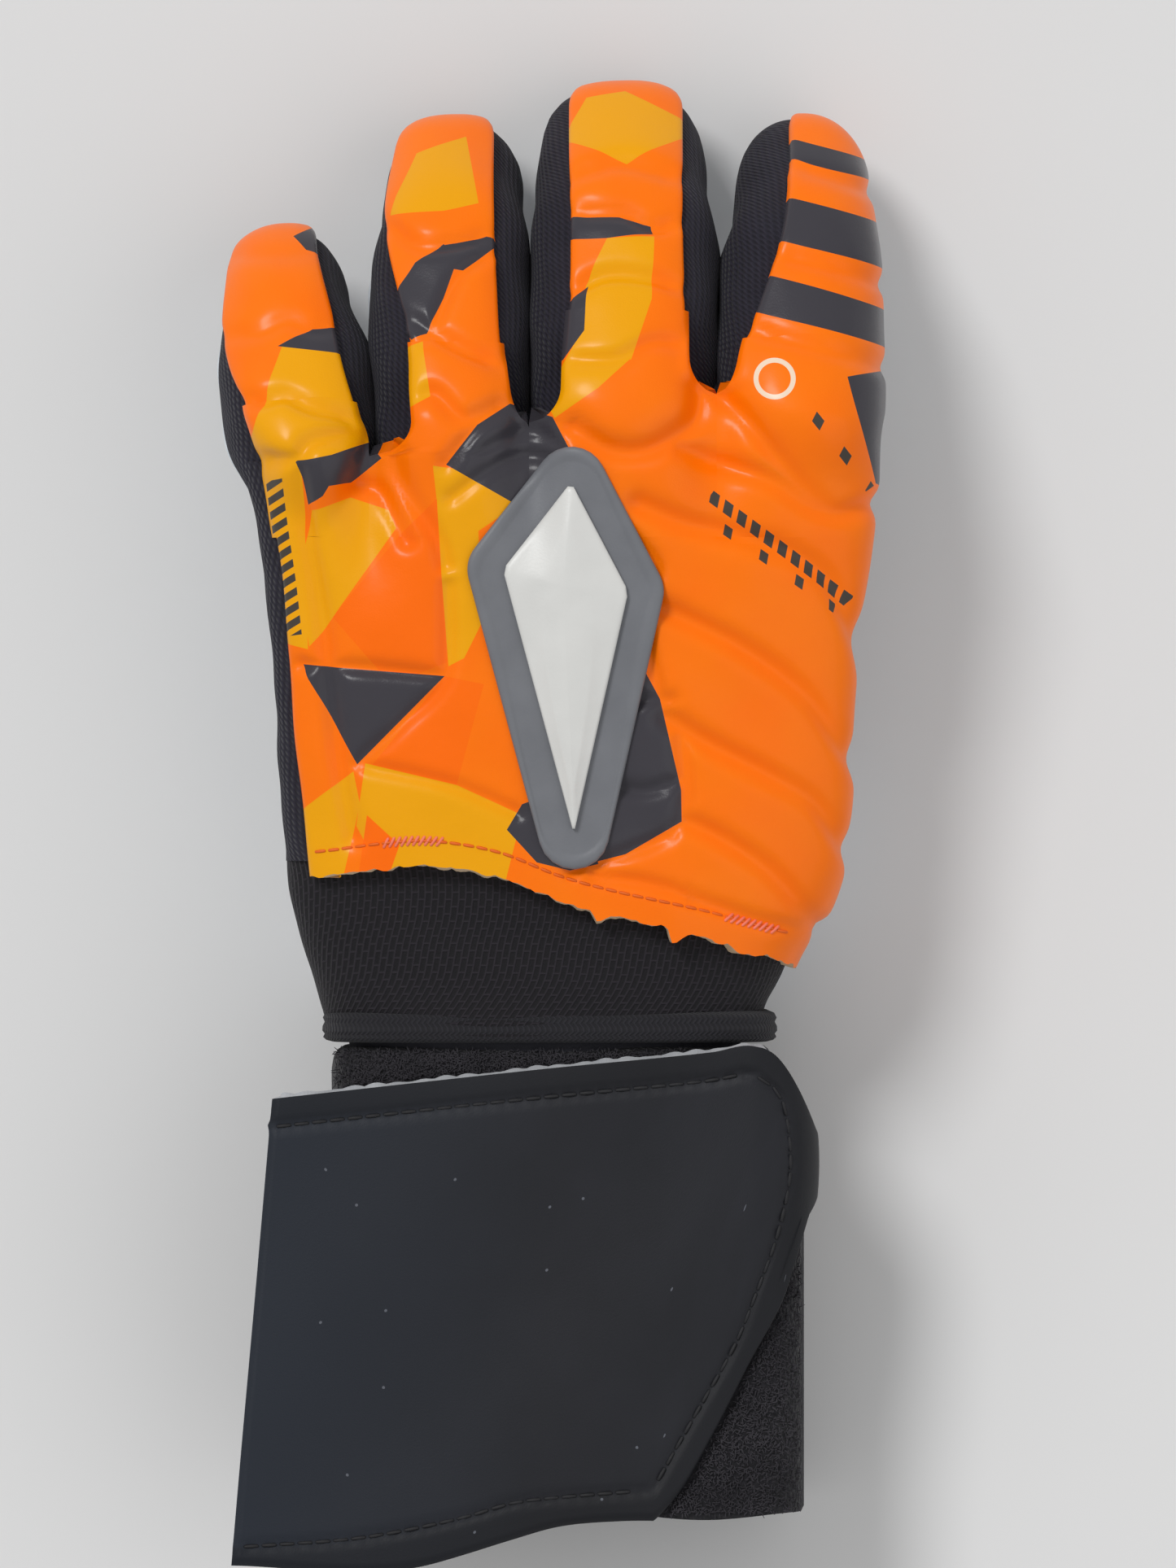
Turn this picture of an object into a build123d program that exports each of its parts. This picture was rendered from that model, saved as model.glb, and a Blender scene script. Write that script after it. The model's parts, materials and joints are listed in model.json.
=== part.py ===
from build123d import *
import math
import os

# A goalkeeper's glove for the left hand, lying palm down with its fingers curled.
# X runs across the hand towards the index finger, Y towards the fingertips, Z up.
# Every length is in millimetres. Y is measured from the wrist seam while the pieces
# are made, and the finished pieces are moved so that the origin is at the middle of
# the glove's footprint.

# ---------------------------------------------------------------- layer thicknesses
FOAM = 6.5            # embossed foam of the backhand
FINGER_FOAM = 5.5     # the same foam over the fingers and the thumb
LATEX = 4.0           # grip latex of the palm
FINGER_LATEX = 5.0    # grip latex and its backing under the fingers and the thumb
LINING = 2.5          # cloth lining under the palm latex
BACK_LINING = 1.5     # cloth lining under the backhand foam
MESH = 2.5            # air mesh of the wrist
GUSSET = 2.0          # mesh walls at the sides of the fingers
SIDE_WALL = 2.5       # mesh walls at the sides of the hand
SLIT = 0.8            # space between neighbouring fingers
CLEAR = 0.4           # half of the space left at each finger hinge
SEAM = 0.3            # space between pieces that lie on each other
FAR = 60.0            # reach of a cutting shape, larger than any section of a finger

# ---------------------------------------------------------------- hand
WRIST_WIDTH = 81.0
HEEL_WIDTH, HEEL_Y, HEEL_X = 104.0, 30.0, 3.0        # width, its place, its middle
PALM_WIDTH, PALM_Y, PALM_X = 106.5, 60.0, 2.8
KNUCKLE_X = 1.6       # middle of the four finger roots
KNUCKLE_Y = 97.0      # where the hand has its full width
WRIST_FLOOR = 2.8     # underside of the heel above the floor
RAMP_START, RAMP_END = 8.0, 40.0                     # the heel's slope up to the palm
PALM_HOLLOW = 27.0    # height of the palm above the floor behind the ramp
PALM_RISE = 0.035     # slope of the palm towards the fingers
BACK_HEIGHT = 53.0    # the foam's outer face, carried back to the wrist seam
BACK_RISE = 0.073     # slope of the backhand towards the fingers
HEM_LEFT, HEM_RIGHT = 26.5, 10.0                     # slanting lower edge of the foam
HEM_LAP = 8.0         # the mesh and the lining overlap behind the hem
MESH_SIDE_Y = 24.0    # where the mesh sides end and the side gussets begin

# ---------------------------------------------------------------- fingers
KNUCKLE_Z = PALM_HOLLOW + 15.0                       # height of the knuckle hinges
PIP_BACK, PIP_PALM = 15.0, 11.0                      # finger depth at the middle hinge
TIP_BACK, TIP_PALM = 12.5, 9.5                       # and at the fingertip
TIP_ROUND = 9.0       # rounding of a fingertip seen from the side
FLEX = 48.0           # notch below a hinge: the largest bend and a little more
EXTEND = 18.0         # notch above a hinge: the largest backward bend and a little more
EXTEND_THUMB = 4.0    # the thumb's tip hinge doesn't bend backwards

# width, hinge y, first segment length, slopes of the two segments in degrees,
# y of the fingertip, inset of the tip on its two sides, rounding of the tip in plan
FINGERS = {
    "little": (24.5, 101.0, 30.0, -26.0, -58.0, 148.0, -3.8, 4.0, 9.5),
    "ring": (28.4, 107.0, 37.0, -20.0, -50.0, 168.7, 1.6, 2.4, 11.0),
    "middle": (33.4, 111.0, 38.0, -19.5, -48.5, 175.0, 1.4, 2.0, 12.5),
    "index": (30.0, 108.0, 36.0, -20.0, -49.5, 168.7, 4.2, 2.2, 10.5),
}
WEB = 7.0             # width of the gusset at the root between two fingers
WEB_DEPTH = 14.0      # and how far back it reaches

# ---------------------------------------------------------------- thumb
THUMB_X, THUMB_Y = 31.0, 52.0                        # the upright thumb hinge
THUMB_LEAN = 8.0      # the thumb points this many degrees under the palm
THUMB_WIDTH = 26.0
THUMB_FLOOR, THUMB_TOP = 0.6, 22.6
THUMB_HINGE_Y, THUMB_HINGE_Z = 27.0, 10.5            # the tip hinge, along the thumb
THUMB_LENGTH = 50.5
THUMB_TIP_WIDTH, THUMB_TIP_TOP = 23.0, 19.0
THUMB_ROUND = 7.5
POUCH_WIDTH = 38.0    # the pad at the root of the thumb
POUCH_START, POUCH_END = 14.0, THUMB_Y - 10.0
POUCH_CLEAR = 0.5

# ---------------------------------------------------------------- wrist and strap
BAND_LENGTH = 4.5     # elastic band sewn round the wrist seam
BAND_TOP = BACK_HEIGHT - FOAM + 2.0                  # the band stands proud of the mesh
BAND_WALL = 2.5
CUFF_LEFT = 0.5 - WRIST_WIDTH / 2                    # the elastic bandage cuff
CUFF_RIGHT = WRIST_WIDTH / 2 + 4.0
CUFF_TOP, CUFF_WALL = BAND_TOP - 2.5, 3.0
CUFF_LENGTH = 85.5
CUFF_ROUND = 12.0
STRAP_BOTTOM = 2.4    # the strap where it passes under the cuff
STRAP_SIDE = 4.0      # and where it rises beside it
STRAP_DROP = 2.3      # the strap's side ends this far below its hinge
PLY = 1.5             # elastic and hook layers under the strap's face
PANEL = 2.5           # the strap's foam-backed face
BINDING = 1.0         # turned edge tape along the strap's upper edge
FLAP_X = CUFF_RIGHT + 1.7                            # the strap's hinge line
STRAP_UPPER_LEFT, STRAP_UPPER_RIGHT = -14.0, -5.0    # y of the strap's upper edge
STRAP_TIP_UPPER = CUFF_LEFT - 11.0                   # x of its free end
STRAP_TIP_LOWER = CUFF_LEFT - 18.5
STRAP_LOWER_LEFT = -BAND_LENGTH - CUFF_LENGTH - 10.0 # y of its lower edge
STRAP_LOWER_RIGHT = -BAND_LENGTH - CUFF_LENGTH - 1.0
HOOK_RIGHT = -8.0     # the hook patch covers the cuff's top from here to its left side
WEDGE_START = 33.0    # the bare elastic shows this far below the strap's upper edge
WEDGE_WIDTH = 26.0    # and is this wide at the lower edge
WEDGE_BEND = (5.5, 42.0)                             # where its edge turns: inset and depth

# ---------------------------------------------------------------- badge
BADGE = [(4.0, 99.0), (14.5, 79.0), (4.5, 34.5), (-8.5, 83.0)]
BADGE_BORDER = 6.5
BADGE_PLATE, BADGE_FACE = 1.2, 1.2                   # how far each stands up

parts = {}


def palm_line(y):
    """Height of the palm's outer face."""
    if y <= RAMP_START:
        return WRIST_FLOOR
    if y >= RAMP_END:
        return PALM_HOLLOW + PALM_RISE * (y - RAMP_END)
    share = (y - RAMP_START) / (RAMP_END - RAMP_START)
    return WRIST_FLOOR + share * (PALM_HOLLOW - WRIST_FLOOR)


def back_line(y):
    """Height of the backhand foam's outer face."""
    return BACK_HEIGHT + BACK_RISE * y


def raised(line, amount):
    """The same line, moved up."""
    return lambda y: line(y) + amount


def side_outline(low, high, y0, y1):
    """Side view between two lines, with a corner wherever the palm bends."""
    bends = [y for y in (RAMP_START, RAMP_END) if y0 < y < y1]
    stations = [y0] + bends + [y1]
    upper = [(y, high(y)) for y in reversed(stations)]
    return [(y, low(y)) for y in stations] + upper


def prism_x(outline, x0, x1):
    """A side view of (y, z) points or a sketch, drawn out from x0 to x1."""
    sketch = outline if isinstance(outline, Sketch) else Polygon(*outline, align=None)
    plane = Plane(origin=(x0, 0, 0), x_dir=(0, 1, 0), z_dir=(1, 0, 0))
    return extrude(plane * sketch, amount=x1 - x0, dir=(1, 0, 0))


def prism_z(outline, z0, z1):
    """A plan of (x, y) points or a sketch, drawn up from z0 to z1."""
    sketch = outline if isinstance(outline, Sketch) else Polygon(*outline, align=None)
    return extrude(Pos(0, 0, z0) * sketch, amount=z1 - z0, dir=(0, 0, 1))


def knuckle_width():
    """The four finger roots and the slits between them."""
    return sum(finger[0] for finger in FINGERS.values()) + 3 * SLIT


def finger_span(name):
    """The lowest and highest x of one finger's root."""
    left = KNUCKLE_X - knuckle_width() / 2
    for other, finger in FINGERS.items():
        if other == name:
            return left, left + finger[0]
        left += finger[0] + SLIT


def hand_plan(inset=0.0):
    """Outline of the hand from above, from the wrist seam past the knuckles."""
    half = knuckle_width() / 2
    end = max(finger[1] for finger in FINGERS.values()) + FOAM
    rows = [
        (0.0, -WRIST_WIDTH / 2, WRIST_WIDTH / 2),
        (HEEL_Y, HEEL_X - HEEL_WIDTH / 2, HEEL_X + HEEL_WIDTH / 2),
        (PALM_Y, PALM_X - PALM_WIDTH / 2, PALM_X + PALM_WIDTH / 2),
        (KNUCKLE_Y, KNUCKLE_X - half, KNUCKLE_X + half),
        (end, KNUCKLE_X - half, KNUCKLE_X + half),
    ]
    left = [(x0 + inset, y) for y, x0, _ in rows]
    right = [(x1 - inset, y) for y, _, x1 in reversed(rows)]
    return left + right


def notch(y, z, slope, ahead, flex=FLEX, extend=EXTEND):
    """Side view of all that lies past one face of a hinge's notch. What is ahead is
    cut from the piece behind the hinge, and what is behind from the piece ahead."""
    turn = math.radians(slope)
    sign = 1 if ahead else -1
    along = (sign * math.cos(turn), sign * math.sin(turn))
    up = (-math.sin(turn), math.cos(turn))
    above, below = math.radians(extend / 2), math.radians(flex / 2)
    apex = (y - CLEAR * along[0], z - CLEAR * along[1])
    reach = []
    for height, lean in ((math.cos(above), above), (-math.cos(below), below)):
        reach.append(tuple(
            a + FAR * (height * u - math.sin(lean) * f)
            for a, u, f in zip(apex, up, along)))
    past = [tuple(p + 2 * FAR * f for p, f in zip(point, along)) for point in reach]
    return [apex, reach[0], past[0], past[1], reach[1]]


def hinge_slope(name, joint):
    """Direction halfway between the two pieces that meet at a finger hinge."""
    first, second = FINGERS[name][3], FINGERS[name][4]
    if joint == "knuckle":
        return (math.degrees(math.atan(BACK_RISE)) + first) / 2
    return (first + second) / 2


def finger_hinges(name):
    """The two hinge points of a finger as (y, z)."""
    _, y, length, slope = FINGERS[name][:4]
    turn = math.radians(slope)
    middle = (y + length * math.cos(turn), KNUCKLE_Z + length * math.sin(turn))
    return (y, KNUCKLE_Z), middle


def trim_fingers(piece):
    """Cut the hand's pieces back to the notches of the four knuckle hinges."""
    for name in FINGERS:
        left, right = finger_span(name)
        (y, z), _ = finger_hinges(name)
        past = notch(y, z, hinge_slope(name, "knuckle"), ahead=True)
        piece -= prism_x(past, left - SLIT, right + SLIT / 2 + 0.01)
    return piece


def hand_layer(low, high, y0, y1):
    """A full-width layer of the hand between two lines."""
    reach = knuckle_width()
    block = prism_x(side_outline(low, high, y0, y1), -reach, reach)
    return block & prism_z(hand_plan(), 0, 2 * FAR)


def make_hand():
    """The backhand, the palm, their linings and the walls between them."""
    end = max(finger[1] for finger in FINGERS.values()) + FOAM
    left, right = hand_plan()[3][0], hand_plan()[6][0]
    hem = [(left - FOAM, HEM_LEFT), (right + FOAM, HEM_RIGHT),
           (right + FOAM, 2 * FAR + end), (left - FOAM, 2 * FAR + end)]
    lap = [(x, y + HEM_LAP * (i < 2)) for i, (x, y) in enumerate(hem)]
    mesh_under = raised(back_line, -FOAM - MESH)
    foam_under = raised(back_line, -FOAM)
    lining_under = raised(back_line, -FOAM - BACK_LINING)
    latex_top = raised(palm_line, LATEX)
    lining_top = raised(palm_line, LATEX + LINING)

    foam = hand_layer(foam_under, back_line, 0, end) & prism_z(hem, 0, 2 * FAR)
    parts["backhand_panel"] = trim_fingers(foam)
    lining = hand_layer(lining_under, foam_under, 0, end)
    parts["backhand_lining"] = trim_fingers(lining & prism_z(lap, 0, 2 * FAR))
    parts["palm_latex"] = trim_fingers(hand_layer(palm_line, latex_top, 0, end))
    parts["palm_lining"] = trim_fingers(hand_layer(latex_top, lining_top, 0, end))

    walls = prism_z(hand_plan(), 0, 2 * FAR) - prism_z(hand_plan(SIDE_WALL), 0, 2 * FAR)
    mesh_top = hand_layer(mesh_under, foam_under, 0, end) - prism_z(lap, 0, 2 * FAR)
    mesh_sides = walls & prism_x(
        side_outline(lining_top, mesh_under, 0, MESH_SIDE_Y), -FAR, FAR)
    parts["wrist_mesh"] = mesh_top + mesh_sides
    gussets = walls & prism_x(
        side_outline(lining_top, lining_under, MESH_SIDE_Y, end), -FAR - FOAM, FAR + FOAM)
    gussets = trim_fingers(gussets - parts["wrist_mesh"])
    parts["side_gusset_little"] = gussets & Box(2 * FAR, 4 * FAR, 4 * FAR,
                                                align=(Align.MAX, Align.CENTER, Align.CENTER))
    parts["side_gusset_index"] = gussets & Box(2 * FAR, 4 * FAR, 4 * FAR,
                                               align=(Align.MIN, Align.CENTER, Align.CENTER))

    names = list(FINGERS)
    for first, second in zip(names, names[1:]):
        middle = finger_span(first)[1] + SLIT / 2
        y = min(FINGERS[first][1], FINGERS[second][1])
        block = prism_x(side_outline(lining_top, lining_under, y - WEB_DEPTH, end),
                        middle - WEB / 2, middle + WEB / 2)
        parts[f"web_{first}_{second}"] = trim_fingers(block)


def make_badge():
    """The raised plate on the backhand and the bright face that stands on it."""
    face = Polygon(*BADGE, align=None)
    plate = offset(face, BADGE_BORDER, kind=Kind.ARC)
    top = raised(back_line, BADGE_PLATE)
    whole = prism_x(side_outline(back_line, top, 0, 2 * FAR), -FAR, FAR)
    parts["badge_plate"] = whole & prism_z(plate, 0, 2 * FAR)
    upper = raised(top, BADGE_FACE)
    whole = prism_x(side_outline(top, upper, 0, 2 * FAR), -FAR, FAR)
    parts["badge_face"] = whole & prism_z(face, 0, 2 * FAR)


def finger_plan(name, inset=0.0, reach=0.0):
    """Outline of a finger from above, rounded at its tip unless it is carried past it."""
    _, y, _, _, _, tip, tip_left, tip_right, rounding = FINGERS[name]
    left, right = finger_span(name)
    start = y - FOAM
    stretch = (tip + reach - start) / (tip - start)
    corners = [
        (left + inset, start),
        (left + inset + tip_left * stretch, tip + reach),
        (right - inset - tip_right * stretch, tip + reach),
        (right - inset, start),
    ]
    plan = Polygon(*corners, align=None)
    if reach:
        return plan
    return fillet(plan.vertices().sort_by(Axis.Y)[-2:], rounding)


def segment(name, hinge, slope, outline):
    """A side view drawn along one finger segment, made as wide as the finger."""
    left, right = finger_span(name)
    reach = FINGERS[name][0]
    turn = math.radians(slope)
    plane = Plane(origin=(left - reach, hinge[0], hinge[1]),
                  x_dir=(0, math.cos(turn), math.sin(turn)), z_dir=(1, 0, 0))
    return extrude(plane * outline, amount=right - left + 2 * reach, dir=(1, 0, 0))


def taper(length, back, palm, start, overrun):
    """Side view of a tapering finger segment; start and the ends are (back, palm)."""
    u0, u1 = -overrun[0], length + overrun[1]
    rows = []
    for u in (u0, u1):
        share = u / length
        rows.append((u, start[0] + share * (back - start[0]),
                     -start[1] - share * (palm - start[1])))
    (u0, t0, b0), (u1, t1, b1) = rows
    return [(u0, b0), (u1, b1), (u1, t1), (u0, t0)]


def inner(outline, back, palm):
    """The hollow inside a tapering side view."""
    (u0, b0), (u1, b1), (_, t1), (_, t0) = outline
    return [(u0, b0 + palm), (u1, b1 + palm), (u1, t1 - back), (u0, t0 - back)]


def tip_length(name):
    """Length of the last segment that brings the fingertip to its y."""
    turn = math.radians(FINGERS[name][4])
    _, (middle_y, _) = finger_hinges(name)
    rise = (TIP_BACK - TIP_ROUND) * -math.sin(turn) + TIP_ROUND
    return (FINGERS[name][5] - middle_y - rise) / math.cos(turn) + TIP_ROUND


def make_finger(name):
    """One finger in two segments, each with a foam back, a latex front and side walls."""
    first, second = finger_hinges(name)
    slope_1, slope_2 = FINGERS[name][3], FINGERS[name][4]
    rise = math.cos(math.atan(BACK_RISE))
    root = ((back_line(first[0]) - KNUCKLE_Z) * rise, KNUCKLE_Z - palm_line(first[0]))
    plan = prism_z(finger_plan(name), -FAR, 2 * FAR)
    hollow = prism_z(finger_plan(name, GUSSET, FAR), -FAR, 2 * FAR)
    left, right = finger_span(name)
    knuckle = notch(*first, hinge_slope(name, "knuckle"), ahead=False)
    knuckle = prism_x(knuckle, left - FAR, right + FAR)
    middle_slope = hinge_slope(name, "middle")
    middle_ahead = prism_x(notch(*second, middle_slope, ahead=True), left - FAR, right + FAR)
    middle_behind = prism_x(notch(*second, middle_slope, ahead=False), left - FAR, right + FAR)

    outline = taper(FINGERS[name][2], PIP_BACK, PIP_PALM, root, (FOAM, FOAM))
    room = inner(outline, FINGER_FOAM, FINGER_LATEX)
    back = [room[3], room[2], outline[2], outline[3]]
    front = [outline[0], outline[1], room[1], room[0]]
    pieces = {"back": Polygon(*back, align=None), "latex": Polygon(*front, align=None)}
    for kind, view in pieces.items():
        solid = segment(name, first, slope_1, view) & plan
        parts[f"{name}_base_{kind}"] = solid - knuckle - middle_ahead
    walls = segment(name, first, slope_1, Polygon(*room, align=None)) & plan
    parts[f"{name}_base_gusset"] = walls - hollow - knuckle - middle_ahead

    length = tip_length(name)
    outline = taper(length, TIP_BACK, TIP_PALM, (PIP_BACK, PIP_PALM), (FOAM, 0))
    room = inner(outline, FINGER_FOAM, FINGER_LATEX)
    room[1] = (length - FINGER_LATEX, room[1][1])
    room[2] = (length - FINGER_LATEX, room[2][1])
    outside = Polygon(*outline, align=None)
    outside = fillet(outside.vertices().sort_by(Axis.X)[-2:], TIP_ROUND)
    inside = Polygon(*room, align=None)
    inside = fillet(inside.vertices().sort_by(Axis.X)[-2:], TIP_ROUND - FINGER_LATEX)
    shell = outside - inside
    halves = {"back": Align.MIN, "latex": Align.MAX}
    for kind, side in halves.items():
        half = Rectangle(4 * FAR, FAR, align=(Align.CENTER, side))
        solid = segment(name, second, slope_2, shell & half) & plan
        parts[f"{name}_tip_{kind}"] = solid - middle_behind
    walls = segment(name, second, slope_2, inside) & plan
    parts[f"{name}_tip_gusset"] = walls - hollow - middle_behind


def thumb_place(piece):
    """Move a piece made along Y to the thumb's hinge, and lean it under the palm."""
    return Pos(THUMB_X, THUMB_Y, 0) * Rot(0, 0, THUMB_LEAN) * piece


def make_thumb():
    """The tucked thumb in two segments, and the padded pouch that it is hinged in."""
    half, reach = THUMB_WIDTH / 2, THUMB_WIDTH
    base_plan = Circle(half) + Rectangle(
        THUMB_WIDTH, THUMB_HINGE_Y + FOAM, align=(Align.CENTER, Align.MIN))
    ahead = prism_x(notch(THUMB_HINGE_Y, THUMB_HINGE_Z, 0, True, FLEX, EXTEND_THUMB),
                    -reach, reach)
    behind = prism_x(notch(THUMB_HINGE_Y, THUMB_HINGE_Z, 0, False, FLEX, EXTEND_THUMB),
                     -reach, reach)
    room = THUMB_FLOOR + FINGER_LATEX, THUMB_TOP - FINGER_FOAM
    layers = {"back": (room[1], THUMB_TOP), "latex": (THUMB_FLOOR, room[0])}
    for kind, (z0, z1) in layers.items():
        parts[f"thumb_base_{kind}"] = thumb_place(prism_z(base_plan, z0, z1) - ahead)
    wall = Rectangle(GUSSET, THUMB_HINGE_Y + FOAM, align=(Align.MAX, Align.MIN))
    walls = prism_z(Pos(half) * wall, *room) + prism_z(Pos(GUSSET - half) * wall, *room)
    parts["thumb_base_gusset"] = thumb_place(walls - ahead)

    start = THUMB_HINGE_Y - FOAM
    corners = [(-half, start), (-THUMB_TIP_WIDTH / 2, THUMB_LENGTH),
               (THUMB_TIP_WIDTH / 2, THUMB_LENGTH), (half, start)]
    tip_plan = Polygon(*corners, align=None)
    tip_plan = fillet(tip_plan.vertices().sort_by(Axis.Y)[-2:], THUMB_ROUND + GUSSET)
    tip_plan = prism_z(tip_plan, 0, FAR)
    outside = Polygon((start, THUMB_FLOOR), (THUMB_LENGTH, THUMB_FLOOR),
                      (THUMB_LENGTH, THUMB_TIP_TOP), (start, THUMB_TOP), align=None)
    outside = fillet(outside.vertices().sort_by(Axis.X)[-2:], THUMB_ROUND)
    end = THUMB_LENGTH - FINGER_LATEX
    inside = Polygon((start, room[0]), (end, room[0]),
                     (end, THUMB_TIP_TOP - FINGER_FOAM), (start, room[1]), align=None)
    inside = fillet(inside.vertices().sort_by(Axis.X)[-2:], THUMB_ROUND - FINGER_LATEX)
    shell = outside - inside
    for kind, side in {"back": Align.MIN, "latex": Align.MAX}.items():
        half_plane = Pos(0, THUMB_HINGE_Z) * Rectangle(4 * FAR, FAR, align=(Align.CENTER, side))
        solid = prism_x(shell & half_plane, -reach, reach) & tip_plan
        parts[f"thumb_tip_{kind}"] = thumb_place(solid - behind)
    inset = [(x - math.copysign(GUSSET, x), y + (FAR if y > start else 0)) for x, y in corners]
    walls = prism_x(inside, -reach, reach) & tip_plan
    walls -= prism_z(inset, 0, FAR)
    parts["thumb_tip_gusset"] = thumb_place(walls - behind)

    outline = side_outline(lambda y: 0.0, palm_line, POUCH_START, POUCH_END)
    pouch = prism_x(outline, THUMB_X - POUCH_WIDTH / 2, THUMB_X + POUCH_WIDTH / 2)
    knuckle = Cylinder(half + POUCH_CLEAR, 4 * FAR)
    parts["thumb_pouch"] = pouch - Pos(THUMB_X, THUMB_Y, 0) * knuckle


def tube(x0, x1, z0, z1, y0, y1, wall, rounding):
    """A rounded band or sleeve round the wrist."""
    middle = Pos((x0 + x1) / 2, (z0 + z1) / 2)
    outside = RectangleRounded(x1 - x0, z1 - z0, rounding)
    inside = RectangleRounded(x1 - x0 - 2 * wall, z1 - z0 - 2 * wall, rounding - wall)
    plane = Plane(origin=(0, y0, 0), x_dir=(1, 0, 0), z_dir=(0, -1, 0))
    return extrude(plane * (middle * (outside - inside)), amount=y1 - y0, dir=(0, 1, 0))


def strap_plan(left, right):
    """The strap's outline from above between two x, with its slanting edges."""
    def edge(x, at_left, at_right):
        share = (x - STRAP_TIP_UPPER) / (FLAP_X - STRAP_TIP_UPPER)
        return at_left + share * (at_right - at_left)
    lower = [(left, edge(left, STRAP_LOWER_LEFT, STRAP_LOWER_RIGHT)),
             (right, edge(right, STRAP_LOWER_LEFT, STRAP_LOWER_RIGHT))]
    upper = [(right, edge(right, STRAP_UPPER_LEFT, STRAP_UPPER_RIGHT)),
             (left, edge(left, STRAP_UPPER_LEFT, STRAP_UPPER_RIGHT))]
    return lower + upper


def make_wrist():
    """The elastic wrist band, the bandage cuff and the closure strap round it."""
    half = WRIST_WIDTH / 2
    parts["wrist_band"] = tube(-half, half, WRIST_FLOOR, BAND_TOP, -BAND_LENGTH, 0,
                               BAND_WALL, CUFF_ROUND)
    start = -BAND_LENGTH - CUFF_LENGTH
    floor = STRAP_BOTTOM + SEAM
    parts["cuff_bandage"] = tube(CUFF_LEFT, CUFF_RIGHT, floor, CUFF_TOP, start,
                                 -BAND_LENGTH, CUFF_WALL, CUFF_ROUND)

    outer = CUFF_RIGHT + SEAM + STRAP_SIDE
    hinge_z = CUFF_TOP + SEAM
    under = prism_z(strap_plan(CUFF_LEFT, outer), 0, STRAP_BOTTOM)
    beside = prism_z(strap_plan(CUFF_RIGHT + SEAM, outer), 0, hinge_z - STRAP_DROP)
    parts["strap_band"] = under + beside

    upper = strap_plan(HOOK_RIGHT, FLAP_X)
    parts["strap_elastic"] = prism_z(upper, hinge_z, hinge_z + PLY)
    hook = strap_plan(CUFF_LEFT, HOOK_RIGHT)
    parts["strap_hook_patch"] = prism_z(hook, hinge_z, hinge_z + PLY)
    face = strap_plan(STRAP_TIP_UPPER, FLAP_X)
    face[0] = (STRAP_TIP_LOWER, STRAP_LOWER_LEFT)
    wedge = [(FLAP_X, STRAP_UPPER_RIGHT - WEDGE_START), (FLAP_X, STRAP_LOWER_LEFT),
             (FLAP_X - WEDGE_WIDTH, STRAP_LOWER_LEFT),
             (FLAP_X - WEDGE_BEND[0], STRAP_UPPER_RIGHT - WEDGE_BEND[1])]
    panel = prism_z(face, hinge_z + PLY, hinge_z + PLY + PANEL)
    panel -= prism_z(wedge, 0, 2 * FAR)
    step = [(x, y - BINDING) for x, y in face[2:]]
    tape = prism_z([face[2], face[3], step[1], step[0]], hinge_z + PLY, hinge_z + PLY + PANEL)
    parts["strap_edge_tape"] = tape
    parts["strap_panel"] = panel - tape


def main():
    """Make every piece, centre the glove on its footprint and write the files."""
    make_hand()
    make_badge()
    for name in FINGERS:
        make_finger(name)
    make_thumb()
    make_wrist()
    front = max(finger[5] for finger in FINGERS.values())
    centre = Pos(0, -(front + STRAP_LOWER_LEFT) / 2, 0)
    os.makedirs("parts", exist_ok=True)
    for name, piece in parts.items():
        solids = (centre * piece).solids()
        shape = solids[0] if len(solids) == 1 else Compound(children=list(solids))
        export_step(shape, f"parts/{name}.step")
        print(name, len(solids), round(sum(solid.volume for solid in solids), 1))


main()
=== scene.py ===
# %% [markdown]
# # A goalkeeper's glove, built around its working frame
# The frame is a plain jointed model: it says how large the glove is and where it bends.
# This file gives that frame its looks. Every piece of cloth, foam and latex is a mesh
# made here, and many of them are hung on an empty named for the part of the frame that carries them.

# %% Load the frame
import json
import math
import random

import bmesh
import bpy
import numpy as np
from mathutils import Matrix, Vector
from mathutils.bvhtree import BVHTree


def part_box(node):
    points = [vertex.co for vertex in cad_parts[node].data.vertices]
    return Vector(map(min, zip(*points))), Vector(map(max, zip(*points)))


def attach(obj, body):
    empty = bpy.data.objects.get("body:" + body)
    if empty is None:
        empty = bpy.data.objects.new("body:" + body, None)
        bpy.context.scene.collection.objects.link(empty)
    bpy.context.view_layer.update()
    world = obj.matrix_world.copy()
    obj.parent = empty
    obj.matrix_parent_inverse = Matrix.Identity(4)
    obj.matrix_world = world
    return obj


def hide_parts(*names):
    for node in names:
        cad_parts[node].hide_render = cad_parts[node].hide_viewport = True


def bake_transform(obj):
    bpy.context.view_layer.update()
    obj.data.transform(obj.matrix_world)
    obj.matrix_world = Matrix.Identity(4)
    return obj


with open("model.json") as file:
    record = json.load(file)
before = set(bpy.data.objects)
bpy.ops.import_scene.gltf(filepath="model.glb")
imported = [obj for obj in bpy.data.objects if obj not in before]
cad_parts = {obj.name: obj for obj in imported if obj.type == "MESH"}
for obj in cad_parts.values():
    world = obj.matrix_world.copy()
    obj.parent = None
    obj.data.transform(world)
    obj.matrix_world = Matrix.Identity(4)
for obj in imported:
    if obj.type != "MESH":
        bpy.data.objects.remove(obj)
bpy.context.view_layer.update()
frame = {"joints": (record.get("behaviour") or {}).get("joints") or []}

# %% [markdown]
# ## Where things are
# Lengths are in millimetres here, and Y counts from the wrist seam towards the
# fingertips, as a glove maker measures. One function turns them into the frame's
# metres. The hinge places and the finger widths are read from the frame, so that the
# cloth bends where the frame bends.

# %% Measures from the frame
MM = 0.001
SEAM_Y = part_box("wrist_band")[1].y / MM
FINGERS = ("little", "ring", "middle", "index")


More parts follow.
